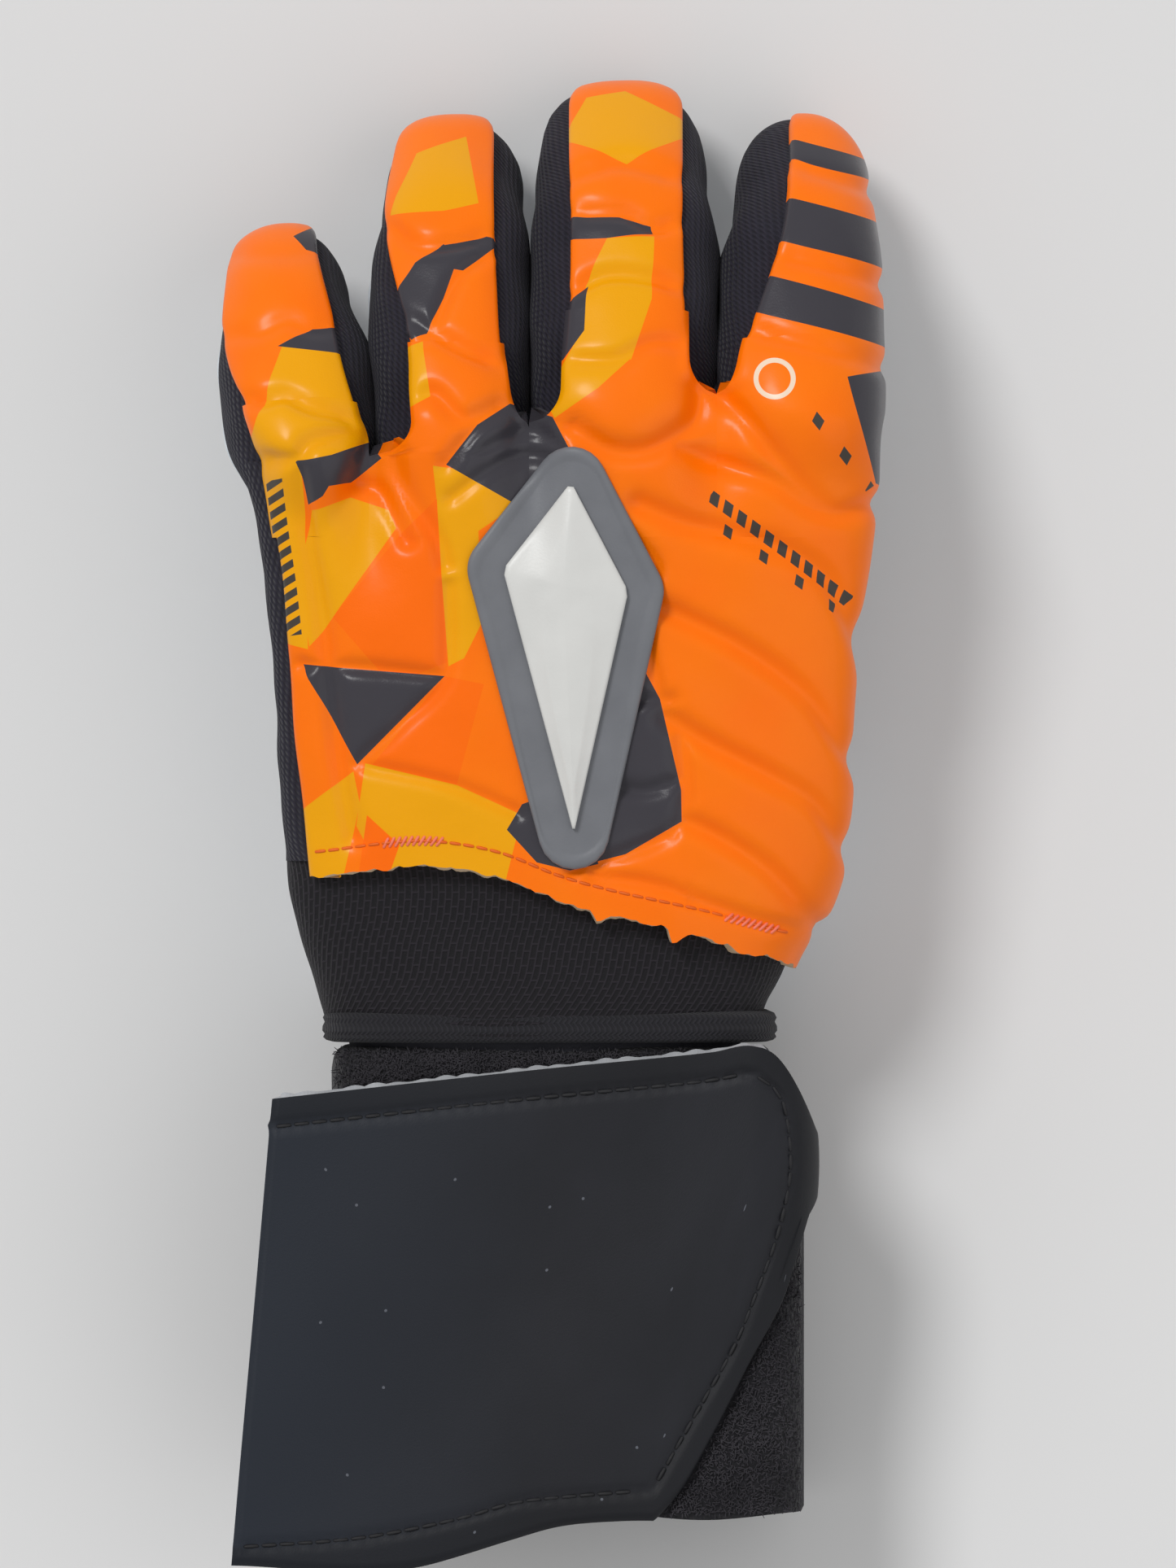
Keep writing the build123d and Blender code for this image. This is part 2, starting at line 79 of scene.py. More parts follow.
def to_metres(points):
    """Points in millimetres from the wrist seam, as the frame's metres."""
    points = np.asarray(points, float).copy()
    points[..., 1] += SEAM_Y
    return points * MM


def box_mm(node):
    """Lowest and highest corner of a CAD node, in millimetres from the wrist seam."""
    low, high = (np.array(corner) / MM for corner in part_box(node))
    low[1] -= SEAM_Y
    high[1] -= SEAM_Y
    return low, high


def joint_mm(name):
    """A joint's place, in millimetres from the wrist seam."""
    place = next(np.array(j["pos_m"]) / MM for j in frame["joints"] if j["name"] == name)
    place[1] -= SEAM_Y
    return place


knuckle = {name: joint_mm(f"{name}_knuckle") for name in FINGERS}
middle_joint = {name: joint_mm(f"{name}_middle") for name in FINGERS}
root_span = {}
for name in FINGERS:
    low, high = box_mm(f"{name}_base_latex")
    root_span[name] = (low[0], high[0])
# neighbouring fingers share the line halfway between them
shared = [(root_span[a][1] + root_span[b][0]) / 2 for a, b in zip(FINGERS, FINGERS[1:])]
print("finger borders at x =", [round(float(x), 1) for x in shared])

# %% [markdown]
# ## Smooth lines
# A glove is drawn with a few points and smooth lines between them. `smooth` makes such
# a line, and `ease` is the soft step that joins one shape to another.

# %% Smooth lines
def ease(value, start, end):
    """0 before start, 1 after end, and a soft step between them."""
    t = np.clip((np.asarray(value, float) - start) / (end - start), 0, 1)
    return t * t * (3 - 2 * t)


def smooth(points):
    """A function through the given (place, value) points that turns softly at each."""
    px, pv = np.array(points, float).T
    slope = np.gradient(pv, px)

    def line(x):
        x = np.clip(np.asarray(x, float), px[0], px[-1])
        k = np.clip(np.searchsorted(px, x) - 1, 0, len(px) - 2)
        h = px[k + 1] - px[k]
        t = (x - px[k]) / h
        return ((2 * t**3 - 3 * t**2 + 1) * pv[k] + (t**3 - 2 * t**2 + t) * h * slope[k]
                + (3 * t**2 - 2 * t**3) * pv[k + 1] + (t**3 - t**2) * h * slope[k + 1])
    return line


def curve(points, count=24):
    """A smooth plan curve through a few (x, y) points."""
    points = np.array(points, float)
    steps = np.arange(len(points))
    t = np.linspace(0, len(points) - 1, count)
    return np.stack([smooth(np.stack([steps, points[:, k]], 1))(t) for k in (0, 1)], 1)


def distance_to(line, x, y):
    """Distance in plan from each (x, y) to a curve of points."""
    best = np.full(np.shape(x), 1e9)
    for (x0, y0), (x1, y1) in zip(line[:-1], line[1:]):
        dx, dy = x1 - x0, y1 - y0
        t = np.clip(((x - x0) * dx + (y - y0) * dy) / (dx * dx + dy * dy + 1e-12), 0, 1)
        best = np.minimum(best, np.hypot(x - x0 - t * dx, y - y0 - t * dy))
    return best

# %% [markdown]
# ## From a grid of points to a piece of cloth or foam
# Nearly every piece is a sheet: rows of points across it, one row after another. It
# could be made as a flat plane with a Solidify modifier, but here the sheet's shape is a
# formula, so its points are worked out at once, with an underside at the sheet's own
# thickness and a rim that closes it. The map that the patterns follow is in decimetres,
# so that it stays put when a finger bends.

# %% Sheet maker
def normals_of(grid):
    """Unit normals of a grid of points."""
    along = np.gradient(grid, axis=0)
    across = np.gradient(grid, axis=1)
    normal = np.cross(across, along)
    return normal / np.maximum(np.linalg.norm(normal, axis=2, keepdims=True), 1e-9)


def rolled(grid, radius, sides="lrse", way=None):
    """The grid with its edges rolled down: sides are left, right, start and end."""
    normal = normals_of(grid) if way is None else np.asarray(way, float)
    drop = np.zeros(grid.shape[:2])
    steps = {axis: np.linalg.norm(np.diff(grid, axis=axis), axis=2) for axis in (0, 1)}
    for side in sides:
        axis = 0 if side in "se" else 1
        run = np.cumsum(steps[axis], axis=axis)
        run = np.insert(run, 0, 0, axis=axis)
        if side in "re":
            run = run.take([-1], axis=axis) - run
        near = np.clip(1 - run / radius, 0, 1)
        drop = np.maximum(drop, radius * (1 - np.sqrt(1 - near**2)))
    return grid - normal * drop[..., None]


def lengths_map(grid):
    """Distance along and across the sheet at each point, for woven patterns."""
    across = np.linalg.norm(np.diff(grid, axis=1), axis=2)
    along = np.linalg.norm(np.diff(grid, axis=0), axis=2)
    u = np.insert(np.cumsum(across, axis=1), 0, 0, axis=1)
    v = np.insert(np.cumsum(along, axis=0), 0, 0, axis=0)
    u = u - u[:, [u.shape[1] // 2]]
    return np.stack([u, v], 2)


def mesh_piece(name, points, faces, flat, materials, slots=None):
    """A smooth-shaded object from points in metres and their places on the pattern map."""
    mesh = bpy.data.meshes.new(name)
    mesh.from_pydata([tuple(p) for p in points], [], faces)
    loops = np.zeros(len(mesh.loops), int)
    mesh.loops.foreach_get("vertex_index", loops)
    layer = mesh.uv_layers.new(name="UVMap")
    layer.data.foreach_set("uv", flat[loops].astype(np.float32).ravel())
    if slots is not None:
        mesh.polygons.foreach_set("material_index", slots)
    mesh.polygons.foreach_set("use_smooth", [True] * len(faces))
    for material in materials:
        mesh.materials.append(material)
    piece = bpy.data.objects.new(name, mesh)
    bpy.context.scene.collection.objects.link(piece)
    return piece


def declare(piece, slot, *nodes, body=None, fill=None):
    """Hides the frame's nodes that a piece stands for and hangs it on its body; slot and fill are not
    used.
    """
    if body:
        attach(piece, body)
    if nodes:
        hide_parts(*nodes)


def make_sheet(name, grid, thickness, materials, plan=None, rims="lrse", rim_slots=()):
    """A closed sheet from a grid of points in millimetres. plan is its pattern map, and
    rim_slots gives a rim its own material, as ("s", 1)."""
    grid = np.asarray(grid, float)
    rows, columns = grid.shape[:2]
    normal = normals_of(grid)
    under = thickness if np.ndim(thickness) == 3 else grid - normal * thickness
    plan = lengths_map(grid) if plan is None else plan
    points = to_metres(np.concatenate([grid.reshape(-1, 3), under.reshape(-1, 3)]))
    top = lambda r, c: r * columns + c
    low = lambda r, c: rows * columns + r * columns + c
    faces, slots = [], []
    for r in range(rows - 1):
        for c in range(columns - 1):
            quad = [top(r, c), top(r, c + 1), top(r + 1, c + 1), top(r + 1, c)]
            back = [low(r, c), low(r + 1, c), low(r + 1, c + 1), low(r, c + 1)]
            faces += [quad, back]
            slots += [0, 0]
    rim = {"s": [((0, c + 1), (0, c)) for c in range(columns - 1)],
           "e": [((rows - 1, c), (rows - 1, c + 1)) for c in range(columns - 1)],
           "l": [((r, 0), (r + 1, 0)) for r in range(rows - 1)],
           "r": [((r + 1, columns - 1), (r, columns - 1)) for r in range(rows - 1)]}
    edges = [edge for side in rims for edge in rim[side]]
    faces += [[top(*a), top(*b), low(*b), low(*a)] for a, b in edges]
    slots += [dict(rim_slots).get(side, 0) for side in rims for _ in rim[side]]
    flat = np.concatenate([plan.reshape(-1, 2), plan.reshape(-1, 2)]) / 100
    piece = mesh_piece(name, points, faces, flat, materials, slots)
    rim_edges = {frozenset((top(*a), top(*b))) for a, b in edges}
    rim_edges |= {frozenset((low(*a), low(*b))) for a, b in edges}
    for edge in piece.data.edges:
        if frozenset(edge.vertices) in rim_edges:
            edge.use_edge_sharp = True
    return piece

# %% [markdown]
# ## Materials
# Each finish starts from what the real one is. The backhand is latex foam with a printed
# and heat-pressed skin, the gussets are ribbed polyester mesh, the wrist is air mesh, the
# cuff is brushed loop-pile elastic and the strap's face is polyurethane film on foam.
# One function adds a node, another turns sRGB hex values to linear colour.

# %% Material helpers
def colour(hex_value, alpha=1.0):
    """An sRGB hex value as linear colour."""
    parts = [int(hex_value[i:i + 2], 16) / 255 for i in (1, 3, 5)]
    linear = [p / 12.92 if p <= 0.04045 else ((p + 0.055) / 1.055) ** 2.4 for p in parts]
    return (*linear, alpha)


def add(tree, kind, *inputs, out=0, **named):
    """Adds a node and gives back one of its outputs, or all of them. A name in small
    letters is a setting, and the rest are inputs: in order, or by name."""
    node = tree.nodes.new("ShaderNode" + kind)
    for key, value in named.items():
        if key.islower():
            setattr(node, key, value)
    wanted = [(key, value) for key, value in named.items() if not key.islower()]
    for key, value in [*enumerate(inputs), *wanted]:
        socket = node.inputs[key] if isinstance(key, int) else next(
            s for s in node.inputs if key in (s.identifier, s.name.replace(" ", "_")))
        if isinstance(value, bpy.types.NodeSocket):
            tree.links.new(value, socket)
        else:
            socket.default_value = value
    return node.outputs if out is None else node.outputs[out]


def new_material(name, roughness, **sockets):
    """A material with a Principled shader, and a map of the sheet in millimetres."""
    material = bpy.data.materials.new(name)
    material.use_nodes = True
    tree = material.node_tree
    shader = tree.nodes["Principled BSDF"]
    shader.inputs["Roughness"].default_value = roughness
    for key, value in sockets.items():
        shader.inputs[key.replace("_", " ")].default_value = value
    uv = add(tree, "UVMap", uv_map="UVMap")
    plan = add(tree, "VectorMath", uv, operation="SCALE", Scale=100.0)
    return material, tree, shader, plan


def inside(tree, plan, corners):
    """1 inside a convex outline of (x, y) corners in millimetres, and 0 outside."""
    middle = np.mean(corners, axis=0)
    depth = None
    for (x0, y0), (x1, y1) in zip(corners, corners[1:] + corners[:1]):
        length = math.hypot(x1 - x0, y1 - y0)
        nx, ny = (y1 - y0) / length, (x0 - x1) / length
        edge = nx * x0 + ny * y0
        if nx * middle[0] + ny * middle[1] > edge:
            nx, ny, edge = -nx, -ny, -edge
        reach = add(tree, "VectorMath", plan, (nx, ny, 0.0), operation="DOT_PRODUCT", out=1)
        reach = add(tree, "Math", edge, reach, operation="SUBTRACT")
        depth = reach if depth is None else add(tree, "Math", depth, reach, operation="MINIMUM")
    return add(tree, "Math", depth, 0.0, operation="GREATER_THAN")

# %% [markdown]
# ## The print on the foam
# The backhand is printed before it is pressed: neon orange, deeper orange, amber and a
# glossy charcoal, in sharp-edged facets. An image could carry the print, but facets are
# straight-edged, so each is a convex outline in millimetres, and the shader asks on which
# side of each edge a point lies. That stays sharp at any distance. The maker's words are
# left out: plain slanting bars and short dashes stand in their places.

# %% Print outlines
DEEP, AMBER, CHARCOAL = "#FF6D00", "#EEA300", "#3F3D43"
HAND_PRINT = [
    (AMBER, [(-43.8, 93.5), (-36.5, 96.3), (-29.5, 94.0), (-27.5, 89.3), (-39.8, 74.3),
             (-44.1, 68.3), (-46.4, 83.3)]),
    (AMBER, [(-56.0, 106.0), (-46.0, 103.0), (-45.5, 92.3), (-43.8, 68.3), (-49.5, 69.8)]),
    (AMBER, [(-21.3, 102.0), (-14.0, 101.0), (-5.7, 95.0), (-16.0, 88.0), (-20.0, 90.0)]),
    (AMBER, [(-20.8, 96.0), (-13.0, 91.0), (-12.5, 73.0), (-15.6, 66.8), (-18.5, 65.3)]),
    (DEEP, [(-27.5, 89.3), (-20.6, 96.0), (-18.8, 66.0), (-29.0, 62.0), (-39.8, 74.3)]),
    (DEEP, [(-33.5, 46.0), (-17.0, 43.5), (-12.0, 62.0), (-19.2, 63.5)]),
    (AMBER, [(-33.8, 47.5), (-17.0, 43.5), (-5.0, 38.0), (-9.5, 20.0), (-29.0, 24.0),
             (-35.5, 36.0)]),
    (AMBER, [(-47.0, 38.0), (-36.0, 46.0), (-34.8, 40.0), (-38.5, 24.0), (-48.0, 24.0)]),
    (DEEP, [(-33.5, 38.0), (-27.5, 32.5), (-30.5, 24.0), (-35.5, 24.0)]),
    (CHARCOAL, [(-45.8, 65.6), (-19.2, 63.5), (-35.3, 47.3)]),
    (CHARCOAL, [(-47.0, 102.3), (-43.5, 105.5), (-38.4, 107.5), (-33.9, 107.2),
                (-30.8, 103.5), (-36.4, 99.0), (-45.3, 97.5)]),
    (CHARCOAL, [(-45.8, 99.0), (-38.0, 99.0), (-41.5, 96.5), (-44.2, 92.0)]),
    (CHARCOAL, [(-18.9, 102.2), (-13.2, 109.5), (-7.2, 113.5), (0.6, 111.0), (5.6, 101.4),
                (6.0, 90.0), (-5.3, 94.5)]),
    (CHARCOAL, [(15.0, 89.5), (19.6, 83.3), (15.0, 78.5)]),
    (CHARCOAL, [(12.0, 78.0), (16.4, 76.0), (20.3, 59.3), (24.0, 52.5), (24.3, 36.8),
                (14.0, 30.8), (5.0, 28.5), (2.0, 60.0)]),
    (CHARCOAL, [(-7.8, 35.3), (-5.0, 40.0), (6.0, 44.0), (9.0, 29.0), (3.8, 27.8),
                (-2.3, 29.3)]),
]
FINGER_PRINT = {
    "little": [
        (CHARCOAL, [(-47.5, 145.2), (-44.0, 147.0), (-40.5, 146.0), (-41.0, 141.5),
                    (-45.0, 142.8)]),
        (AMBER, [(-49.5, 124.5), (-37.0, 123.2), (-30.0, 106.0), (-39.8, 104.0), (-46.5, 101.5),
                 (-57.0, 102.0), (-52.5, 114.8)]),
        (CHARCOAL, [(-50.0, 124.3), (-43.5, 127.8), (-36.0, 128.2), (-36.0, 122.6),
                    (-44.3, 123.6)]),
    ],
    "ring": [
        (AMBER, [(-25.5, 160.2), (-15.5, 164.0), (-12.9, 150.0), (-19.5, 149.5), (-30.5, 147.0),
                 (-28.2, 152.3)]),
        (AMBER, [(-26.5, 123.8), (-23.4, 125.3), (-21.8, 114.8), (-25.5, 112.8)]),
        (CHARCOAL, [(-30.0, 129.0), (-28.0, 135.0), (-24.8, 139.8), (-19.5, 143.7),
                    (-16.5, 139.5), (-19.5, 133.5), (-21.8, 127.5), (-25.5, 125.5)]),
        (CHARCOAL, [(-20.0, 143.4), (-11.3, 145.0), (-8.0, 144.0), (-15.8, 138.6),
                    (-18.5, 138.5)]),
    ],
    "middle": [
        (AMBER, [(2.0, 163.0), (6.8, 171.3), (14.0, 172.5), (26.0, 166.5), (26.0, 155.5),
                 (14.3, 159.2), (1.0, 153.8)]),
        (AMBER, [(10.6, 144.2), (19.3, 144.6), (18.8, 132.8), (15.0, 121.5), (6.5, 124.0),
                 (6.3, 135.8)]),
        (AMBER, [(15.2, 122.0), (9.0, 116.3), (1.0, 110.8), (-1.0, 114.3), (6.5, 128.0)]),
        (CHARCOAL, [(0.0, 148.5), (12.8, 148.6), (18.8, 146.9), (19.3, 144.4), (10.5, 144.2),
                    (0.0, 143.0)]),
        (CHARCOAL, [(0.0, 148.0), (10.6, 144.4), (9.9, 138.8), (6.8, 135.8), (6.4, 127.0),
                    (2.5, 121.5), (0.0, 121.0)]),
    ],
    "index": [
        (CHARCOAL, [(41.0, 164.5), (64.0, 158.5), (64.0, 155.0), (40.0, 161.0)]),
        (CHARCOAL, [(38.0, 153.5), (64.0, 147.0), (64.0, 138.5), (38.0, 145.0)]),
        (CHARCOAL, [(38.0, 138.0), (64.0, 130.8), (64.0, 123.8), (36.0, 131.0)]),
        (CHARCOAL, [(54.8, 118.5), (64.0, 120.3), (64.0, 98.0), (60.0, 99.0)]),
    ],
}
# rows of short dashes: start, end, spacing, share of ink, half the row's width
DASHES = [
    ((29.5, 96.6), (55.8, 77.2), 3.1, 0.62, 1.1),
    ((29.0, 92.6), (53.0, 75.8), 8.0, 0.22, 0.9),
    ((-50.6, 99.5), (-47.0, 71.0), 2.6, 0.55, 1.5),
]
INDEX_DASHES = [((46.5, 113.6), (59.0, 98.0), 8.0, 0.28, 0.9)]


RING_MARK = (41.3, 118.0)


def dash_row(tree, plan, row):
    """1 on the dashes of one slanting row, and 0 between them."""
    (x0, y0), (x1, y1), spacing, ink, half = row
    length = math.hypot(x1 - x0, y1 - y0)
    ax, ay = (x1 - x0) / length, (y1 - y0) / length
    shape = [(x0 - ay * half, y0 + ax * half), (x1 - ay * half, y1 + ax * half),
             (x1 + ay * half, y1 - ax * half), (x0 + ay * half, y0 - ax * half)]
    area = inside(tree, plan, shape)
    slant = 0.45
    along = add(tree, "VectorMath", plan, (ax - slant * ay, ay + slant * ax, 0.0),
        operation="DOT_PRODUCT", out=1)
    turn = add(tree, "Math", add(tree, "Math", along, spacing, operation="DIVIDE"),
        operation="FRACT")
    return add(tree, "Math", area, add(tree, "Math", turn, ink, operation="LESS_THAN"),
        operation="MULTIPLY")


def near(corners, area):
    """True where an outline reaches into an area (x0, x1, y0, y1)."""
    xs, ys = zip(*corners)
    return min(xs) < area[1] and max(xs) > area[0] and min(ys) < area[3] and max(ys) > area[2]


def printed_foam(name, shapes, rows=()):
    """Printed latex foam: matt-satin neon skin, and glossier ink where it is charcoal."""
    material, tree, shader, plan = new_material(name, 0.42, Specular_IOR_Level=0.1,
                                                Coat_Weight=0.2, Coat_Roughness=0.22)
    cloud = add(tree, "TexNoise", Vector=plan, Scale=1 / 16.0, Detail=2.0)
    tone = add(tree, "Mix", Factor_Float=cloud, A_Color=colour("#FF6E00"),
        B_Color=colour("#FF7D00"), data_type="RGBA", out=2)
    ink = None
    for hex_value, corners in shapes:
        area = inside(tree, plan, corners)
        tone = add(tree, "Mix", Factor_Float=area, A_Color=tone, B_Color=colour(hex_value),
            data_type="RGBA", out=2)
        if hex_value == CHARCOAL:
            ink = area if ink is None else add(tree, "Math", ink, area, operation="MAXIMUM")
        elif ink is not None:
            ink = add(tree, "Math", ink, add(tree, "Math", ink, area, operation="MULTIPLY"),
                operation="SUBTRACT")
    for row in rows:
        dash = dash_row(tree, plan, row)
        tone = add(tree, "Mix", Factor_Float=dash, A_Color=tone, B_Color=colour("#46403A"),
            data_type="RGBA", out=2)
    if "index" in name:
        away = add(tree, "VectorMath", plan, (*RING_MARK, 0.0), operation="DISTANCE", out=1)
        line = add(tree, "Math", add(tree, "Math", away, 3.4, operation="SUBTRACT"),
            operation="ABSOLUTE")
        line = add(tree, "Math", line, 0.45, operation="LESS_THAN")
        tone = add(tree, "Mix", Factor_Float=line, A_Color=tone, B_Color=colour("#F1D9C0"),
            data_type="RGBA", out=2)
    tree.links.new(tone, shader.inputs["Base Color"])
    if ink is not None:
        gloss = add(tree, "Math", ink, -0.16, 0.42, operation="MULTIPLY_ADD")
        tree.links.new(gloss, shader.inputs["Roughness"])
    grain = add(tree, "TexNoise", Vector=plan, Scale=1 / 0.35, Detail=3.0)
    swell = add(tree, "TexNoise", Vector=plan, Scale=1 / 5.0, Detail=2.0)
    height = add(tree, "Math", swell, 4.0, grain, operation="MULTIPLY_ADD")
    tree.links.new(add(tree, "Bump", Height=height, Distance=0.07 * MM, Strength=0.55),
        shader.inputs["Normal"])
    return material


ALL_PRINT = HAND_PRINT + [shape for name in FINGERS for shape in FINGER_PRINT[name]]


def foam_for(name, area):
    """The printed foam of one piece, with only the prints that reach it."""
    shapes = [shape for shape in ALL_PRINT if near(shape[1], area)]
    rows = [row for row in DASHES + INDEX_DASHES if near(row[:2], area)]
    return printed_foam(f"printed latex foam, {name}", shapes, rows)


hand_foam = foam_for("backhand", (-70, 70, 0, 90))
finger_foam = {}
for k, name in enumerate(FINGERS):
    sides = [-70, *shared, 70]
    for part, reach in (("lower", (88, 132)), ("upper", (113, 180))):
        area = (sides[k] - 6 * (k > 0), sides[k + 1] + 4, *reach)
        finger_foam[name, part] = foam_for(f"{name} finger, {part}", area)
thumb_foam = printed_foam("printed latex foam, thumb", [
    (AMBER, [(16.0, 74.0), (36.0, 84.0), (38.0, 70.0), (22.0, 64.0)]),
    (CHARCOAL, [(18.0, 92.0), (34.0, 97.0), (33.0, 90.0), (20.0, 86.0)])])
print("printed foams", 2 + len(finger_foam))

# %% [markdown]
# ## Cloth, latex and rubber
# The ribbed mesh shows as fine ribs along the finger with a slanting stitch in each, the
# air mesh as rows of short upright slots, and the loop pile as a dull fuzz. Their real
# threads are about 0.2 mm, too fine for a picture of the whole glove, so the ribs are
# drawn 0.9 mm apart and the slots 1.3 mm apart, as they appear from an arm's length.

# %% Cloth and rubber materials
def ribbed_mesh():
    """Knitted polyester mesh in ribs, with small slanting stitches."""
    material, tree, shader, plan = new_material("ribbed polyester mesh, knitted", 0.85,
                                                Sheen_Weight=0.06, Sheen_Roughness=0.4,
                                                Specular_IOR_Level=0.3)
    x, y, _ = add(tree, "SeparateXYZ", Vector=plan, out=None)
    rib = add(tree, "Math", add(tree, "Math", x, 2 * math.pi / 1.5, operation="MULTIPLY"),
        operation="SINE")
    slant = add(tree, "Math", add(tree, "Math", x, 5.2, operation="MULTIPLY"), add(tree, "Math",
        y, 2 * math.pi / 1.15, operation="MULTIPLY"), operation="ADD")
    stitch = add(tree, "Math", slant, operation="SINE")
    height = add(tree, "Math", add(tree, "Math", rib, 0.5, operation="MULTIPLY"), add(tree,
        "Math", stitch, 0.5, operation="MULTIPLY"), operation="ADD")
    shade = add(tree, "Math", height, 0.3, 0.5, operation="MULTIPLY_ADD")
    cloud = add(tree, "TexNoise", Vector=plan, Scale=1 / 7.0, Detail=3.0)
    shade = add(tree, "Math", shade, add(tree, "Math", cloud, 0.5, -0.25,
        operation="MULTIPLY_ADD"), operation="ADD")
    tone = add(tree, "Mix", Factor_Float=shade, A_Color=colour("#14131B"),
        B_Color=colour("#2F2D3A"), data_type="RGBA", out=2)
    tree.links.new(tone, shader.inputs["Base Color"])
    tree.links.new(add(tree, "Bump", Height=height, Distance=0.28 * MM, Strength=0.8),
        shader.inputs["Normal"])
    return material


def air_mesh():
    """Air mesh: a knitted skin with rows of short upright slots."""
    material, tree, shader, plan = new_material("air mesh, knitted polyester", 0.8,
                                                Sheen_Weight=0.04, Specular_IOR_Level=0.3)
    turned = add(tree, "VectorRotate", rotation_type="Z_AXIS", Vector=plan, Angle=math.pi / 2)
    thread = add(tree, "TexBrick", offset=0.5, Vector=turned, Color1=(0, 0, 0, 1),
        Color2=(0, 0, 0, 1), Mortar=(1, 1, 1, 1), Scale=1.0, Mortar_Size=0.36,
        Mortar_Smooth=0.9, Brick_Width=2.7, Row_Height=1.25, out=1)
    fibre = add(tree, "TexNoise", Vector=plan, Scale=1 / 0.5, Detail=2.0)
    shade = add(tree, "Math", fibre, 0.3, add(tree, "Math", thread, 0.6, operation="MULTIPLY"),
        operation="MULTIPLY_ADD")
    tone = add(tree, "Mix", Factor_Float=shade, A_Color=colour("#050508"),
        B_Color=colour("#2A262D"), data_type="RGBA", out=2)
    tree.links.new(tone, shader.inputs["Base Color"])
    tree.links.new(add(tree, "Bump", Height=thread, Distance=0.3 * MM, Strength=0.8),
        shader.inputs["Normal"])
    return material


def loop_pile():
    """Brushed loop pile of the elastic: dull, uneven and fuzzy."""
    material, tree, shader, plan = new_material("loop-pile elastic, brushed", 0.95,
                                                Sheen_Weight=0.12, Sheen_Roughness=0.6,
                                                Specular_IOR_Level=0.2)
    tuft = add(tree, "TexVoronoi", Vector=plan, Scale=1 / 0.9)
    cloud = add(tree, "TexNoise", Vector=plan, Scale=1 / 2.5, Detail=4.0, Roughness=0.7)
    shade = add(tree, "Math", cloud, 1.2, -0.25, operation="MULTIPLY_ADD")
    tone = add(tree, "Mix", Factor_Float=shade, A_Color=colour("#08080A"),
        B_Color=colour("#2B2A30"), data_type="RGBA", out=2)
    tree.links.new(tone, shader.inputs["Base Color"])
    height = add(tree, "Math", cloud, 1.5, add(tree, "Math", tuft, -0.7, operation="MULTIPLY"),
        operation="MULTIPLY_ADD")
    tree.links.new(add(tree, "Bump", Height=height, Distance=0.6 * MM, Strength=0.9),
        shader.inputs["Normal"])
    return material


def woven_elastic():
    """Woven elastic webbing: close ribs across the band."""
    material, tree, shader, plan = new_material("elastic webbing, woven", 0.8,
                                                Sheen_Weight=0.05, Specular_IOR_Level=0.3)
    x, y, _ = add(tree, "SeparateXYZ", Vector=plan, out=None)
    rib = add(tree, "Math", add(tree, "Math", x, 2 * math.pi / 1.0, operation="MULTIPLY"),
        operation="SINE")
    shade = add(tree, "Math", rib, 0.25, 0.5, operation="MULTIPLY_ADD")
    tone = add(tree, "Mix", Factor_Float=shade, A_Color=colour("#151518"),
        B_Color=colour("#2A292F"), data_type="RGBA", out=2)
    tree.links.new(tone, shader.inputs["Base Color"])
    tree.links.new(add(tree, "Bump", Height=rib, Distance=0.18 * MM, Strength=0.7),
        shader.inputs["Normal"])
    return material


def strap_film():
    """Polyurethane film on foam, calendered with a fine leather-like grain."""
    material, tree, shader, plan = new_material("polyurethane film on foam, calendered", 0.52,
                                                Specular_IOR_Level=0.22)
    cloud = add(tree, "TexNoise", Vector=plan, Scale=1 / 22.0, Detail=3.0)
    tone = add(tree, "Mix", Factor_Float=cloud, A_Color=colour("#191A1E"),
        B_Color=colour("#25262C"), data_type="RGBA", out=2)
    x, y, _ = add(tree, "SeparateXYZ", Vector=plan, out=None)
    cool = add(tree, "MapRange", x, -56.0, 0.0, 1.0, 0.0)
    tone = add(tree, "Mix", Factor_Float=cool, A_Color=tone, B_Color=colour("#232831"),
        data_type="RGBA", out=2)
    # painted shade: the strip outside the seams, where the border attribute is 1, is darkened
    border = add(tree, "Attribute", attribute_name="border", out=2)
    shade = add(tree, "Math", border, 0.55, operation="MULTIPLY")
    tone = add(tree, "Mix", Factor_Float=shade, A_Color=tone, B_Color=colour("#0F1014"),
        data_type="RGBA", out=2)
    specks = add(tree, "TexVoronoi", voronoi_dimensions="2D", Vector=plan, Scale=1 / 6.0,
        out=None)
    tiny = add(tree, "Math", specks[0], 0.045, operation="LESS_THAN")
    chosen = add(tree, "SeparateColor", Color=specks[1])
    pick = add(tree, "Math", chosen, 0.93, operation="GREATER_THAN")
    scuff = add(tree, "Math", tiny, pick, operation="MULTIPLY")
    tone = add(tree, "Mix", Factor_Float=scuff, A_Color=tone, B_Color=colour("#5A5D65"),
        data_type="RGBA", out=2)
    tree.links.new(tone, shader.inputs["Base Color"])
    grain = add(tree, "TexNoise", Vector=plan, Scale=1 / 0.45, Detail=3.0, Roughness=0.6)
    tree.links.new(add(tree, "Bump", Height=grain, Distance=0.06 * MM, Strength=0.6),
        shader.inputs["Normal"])
    return material


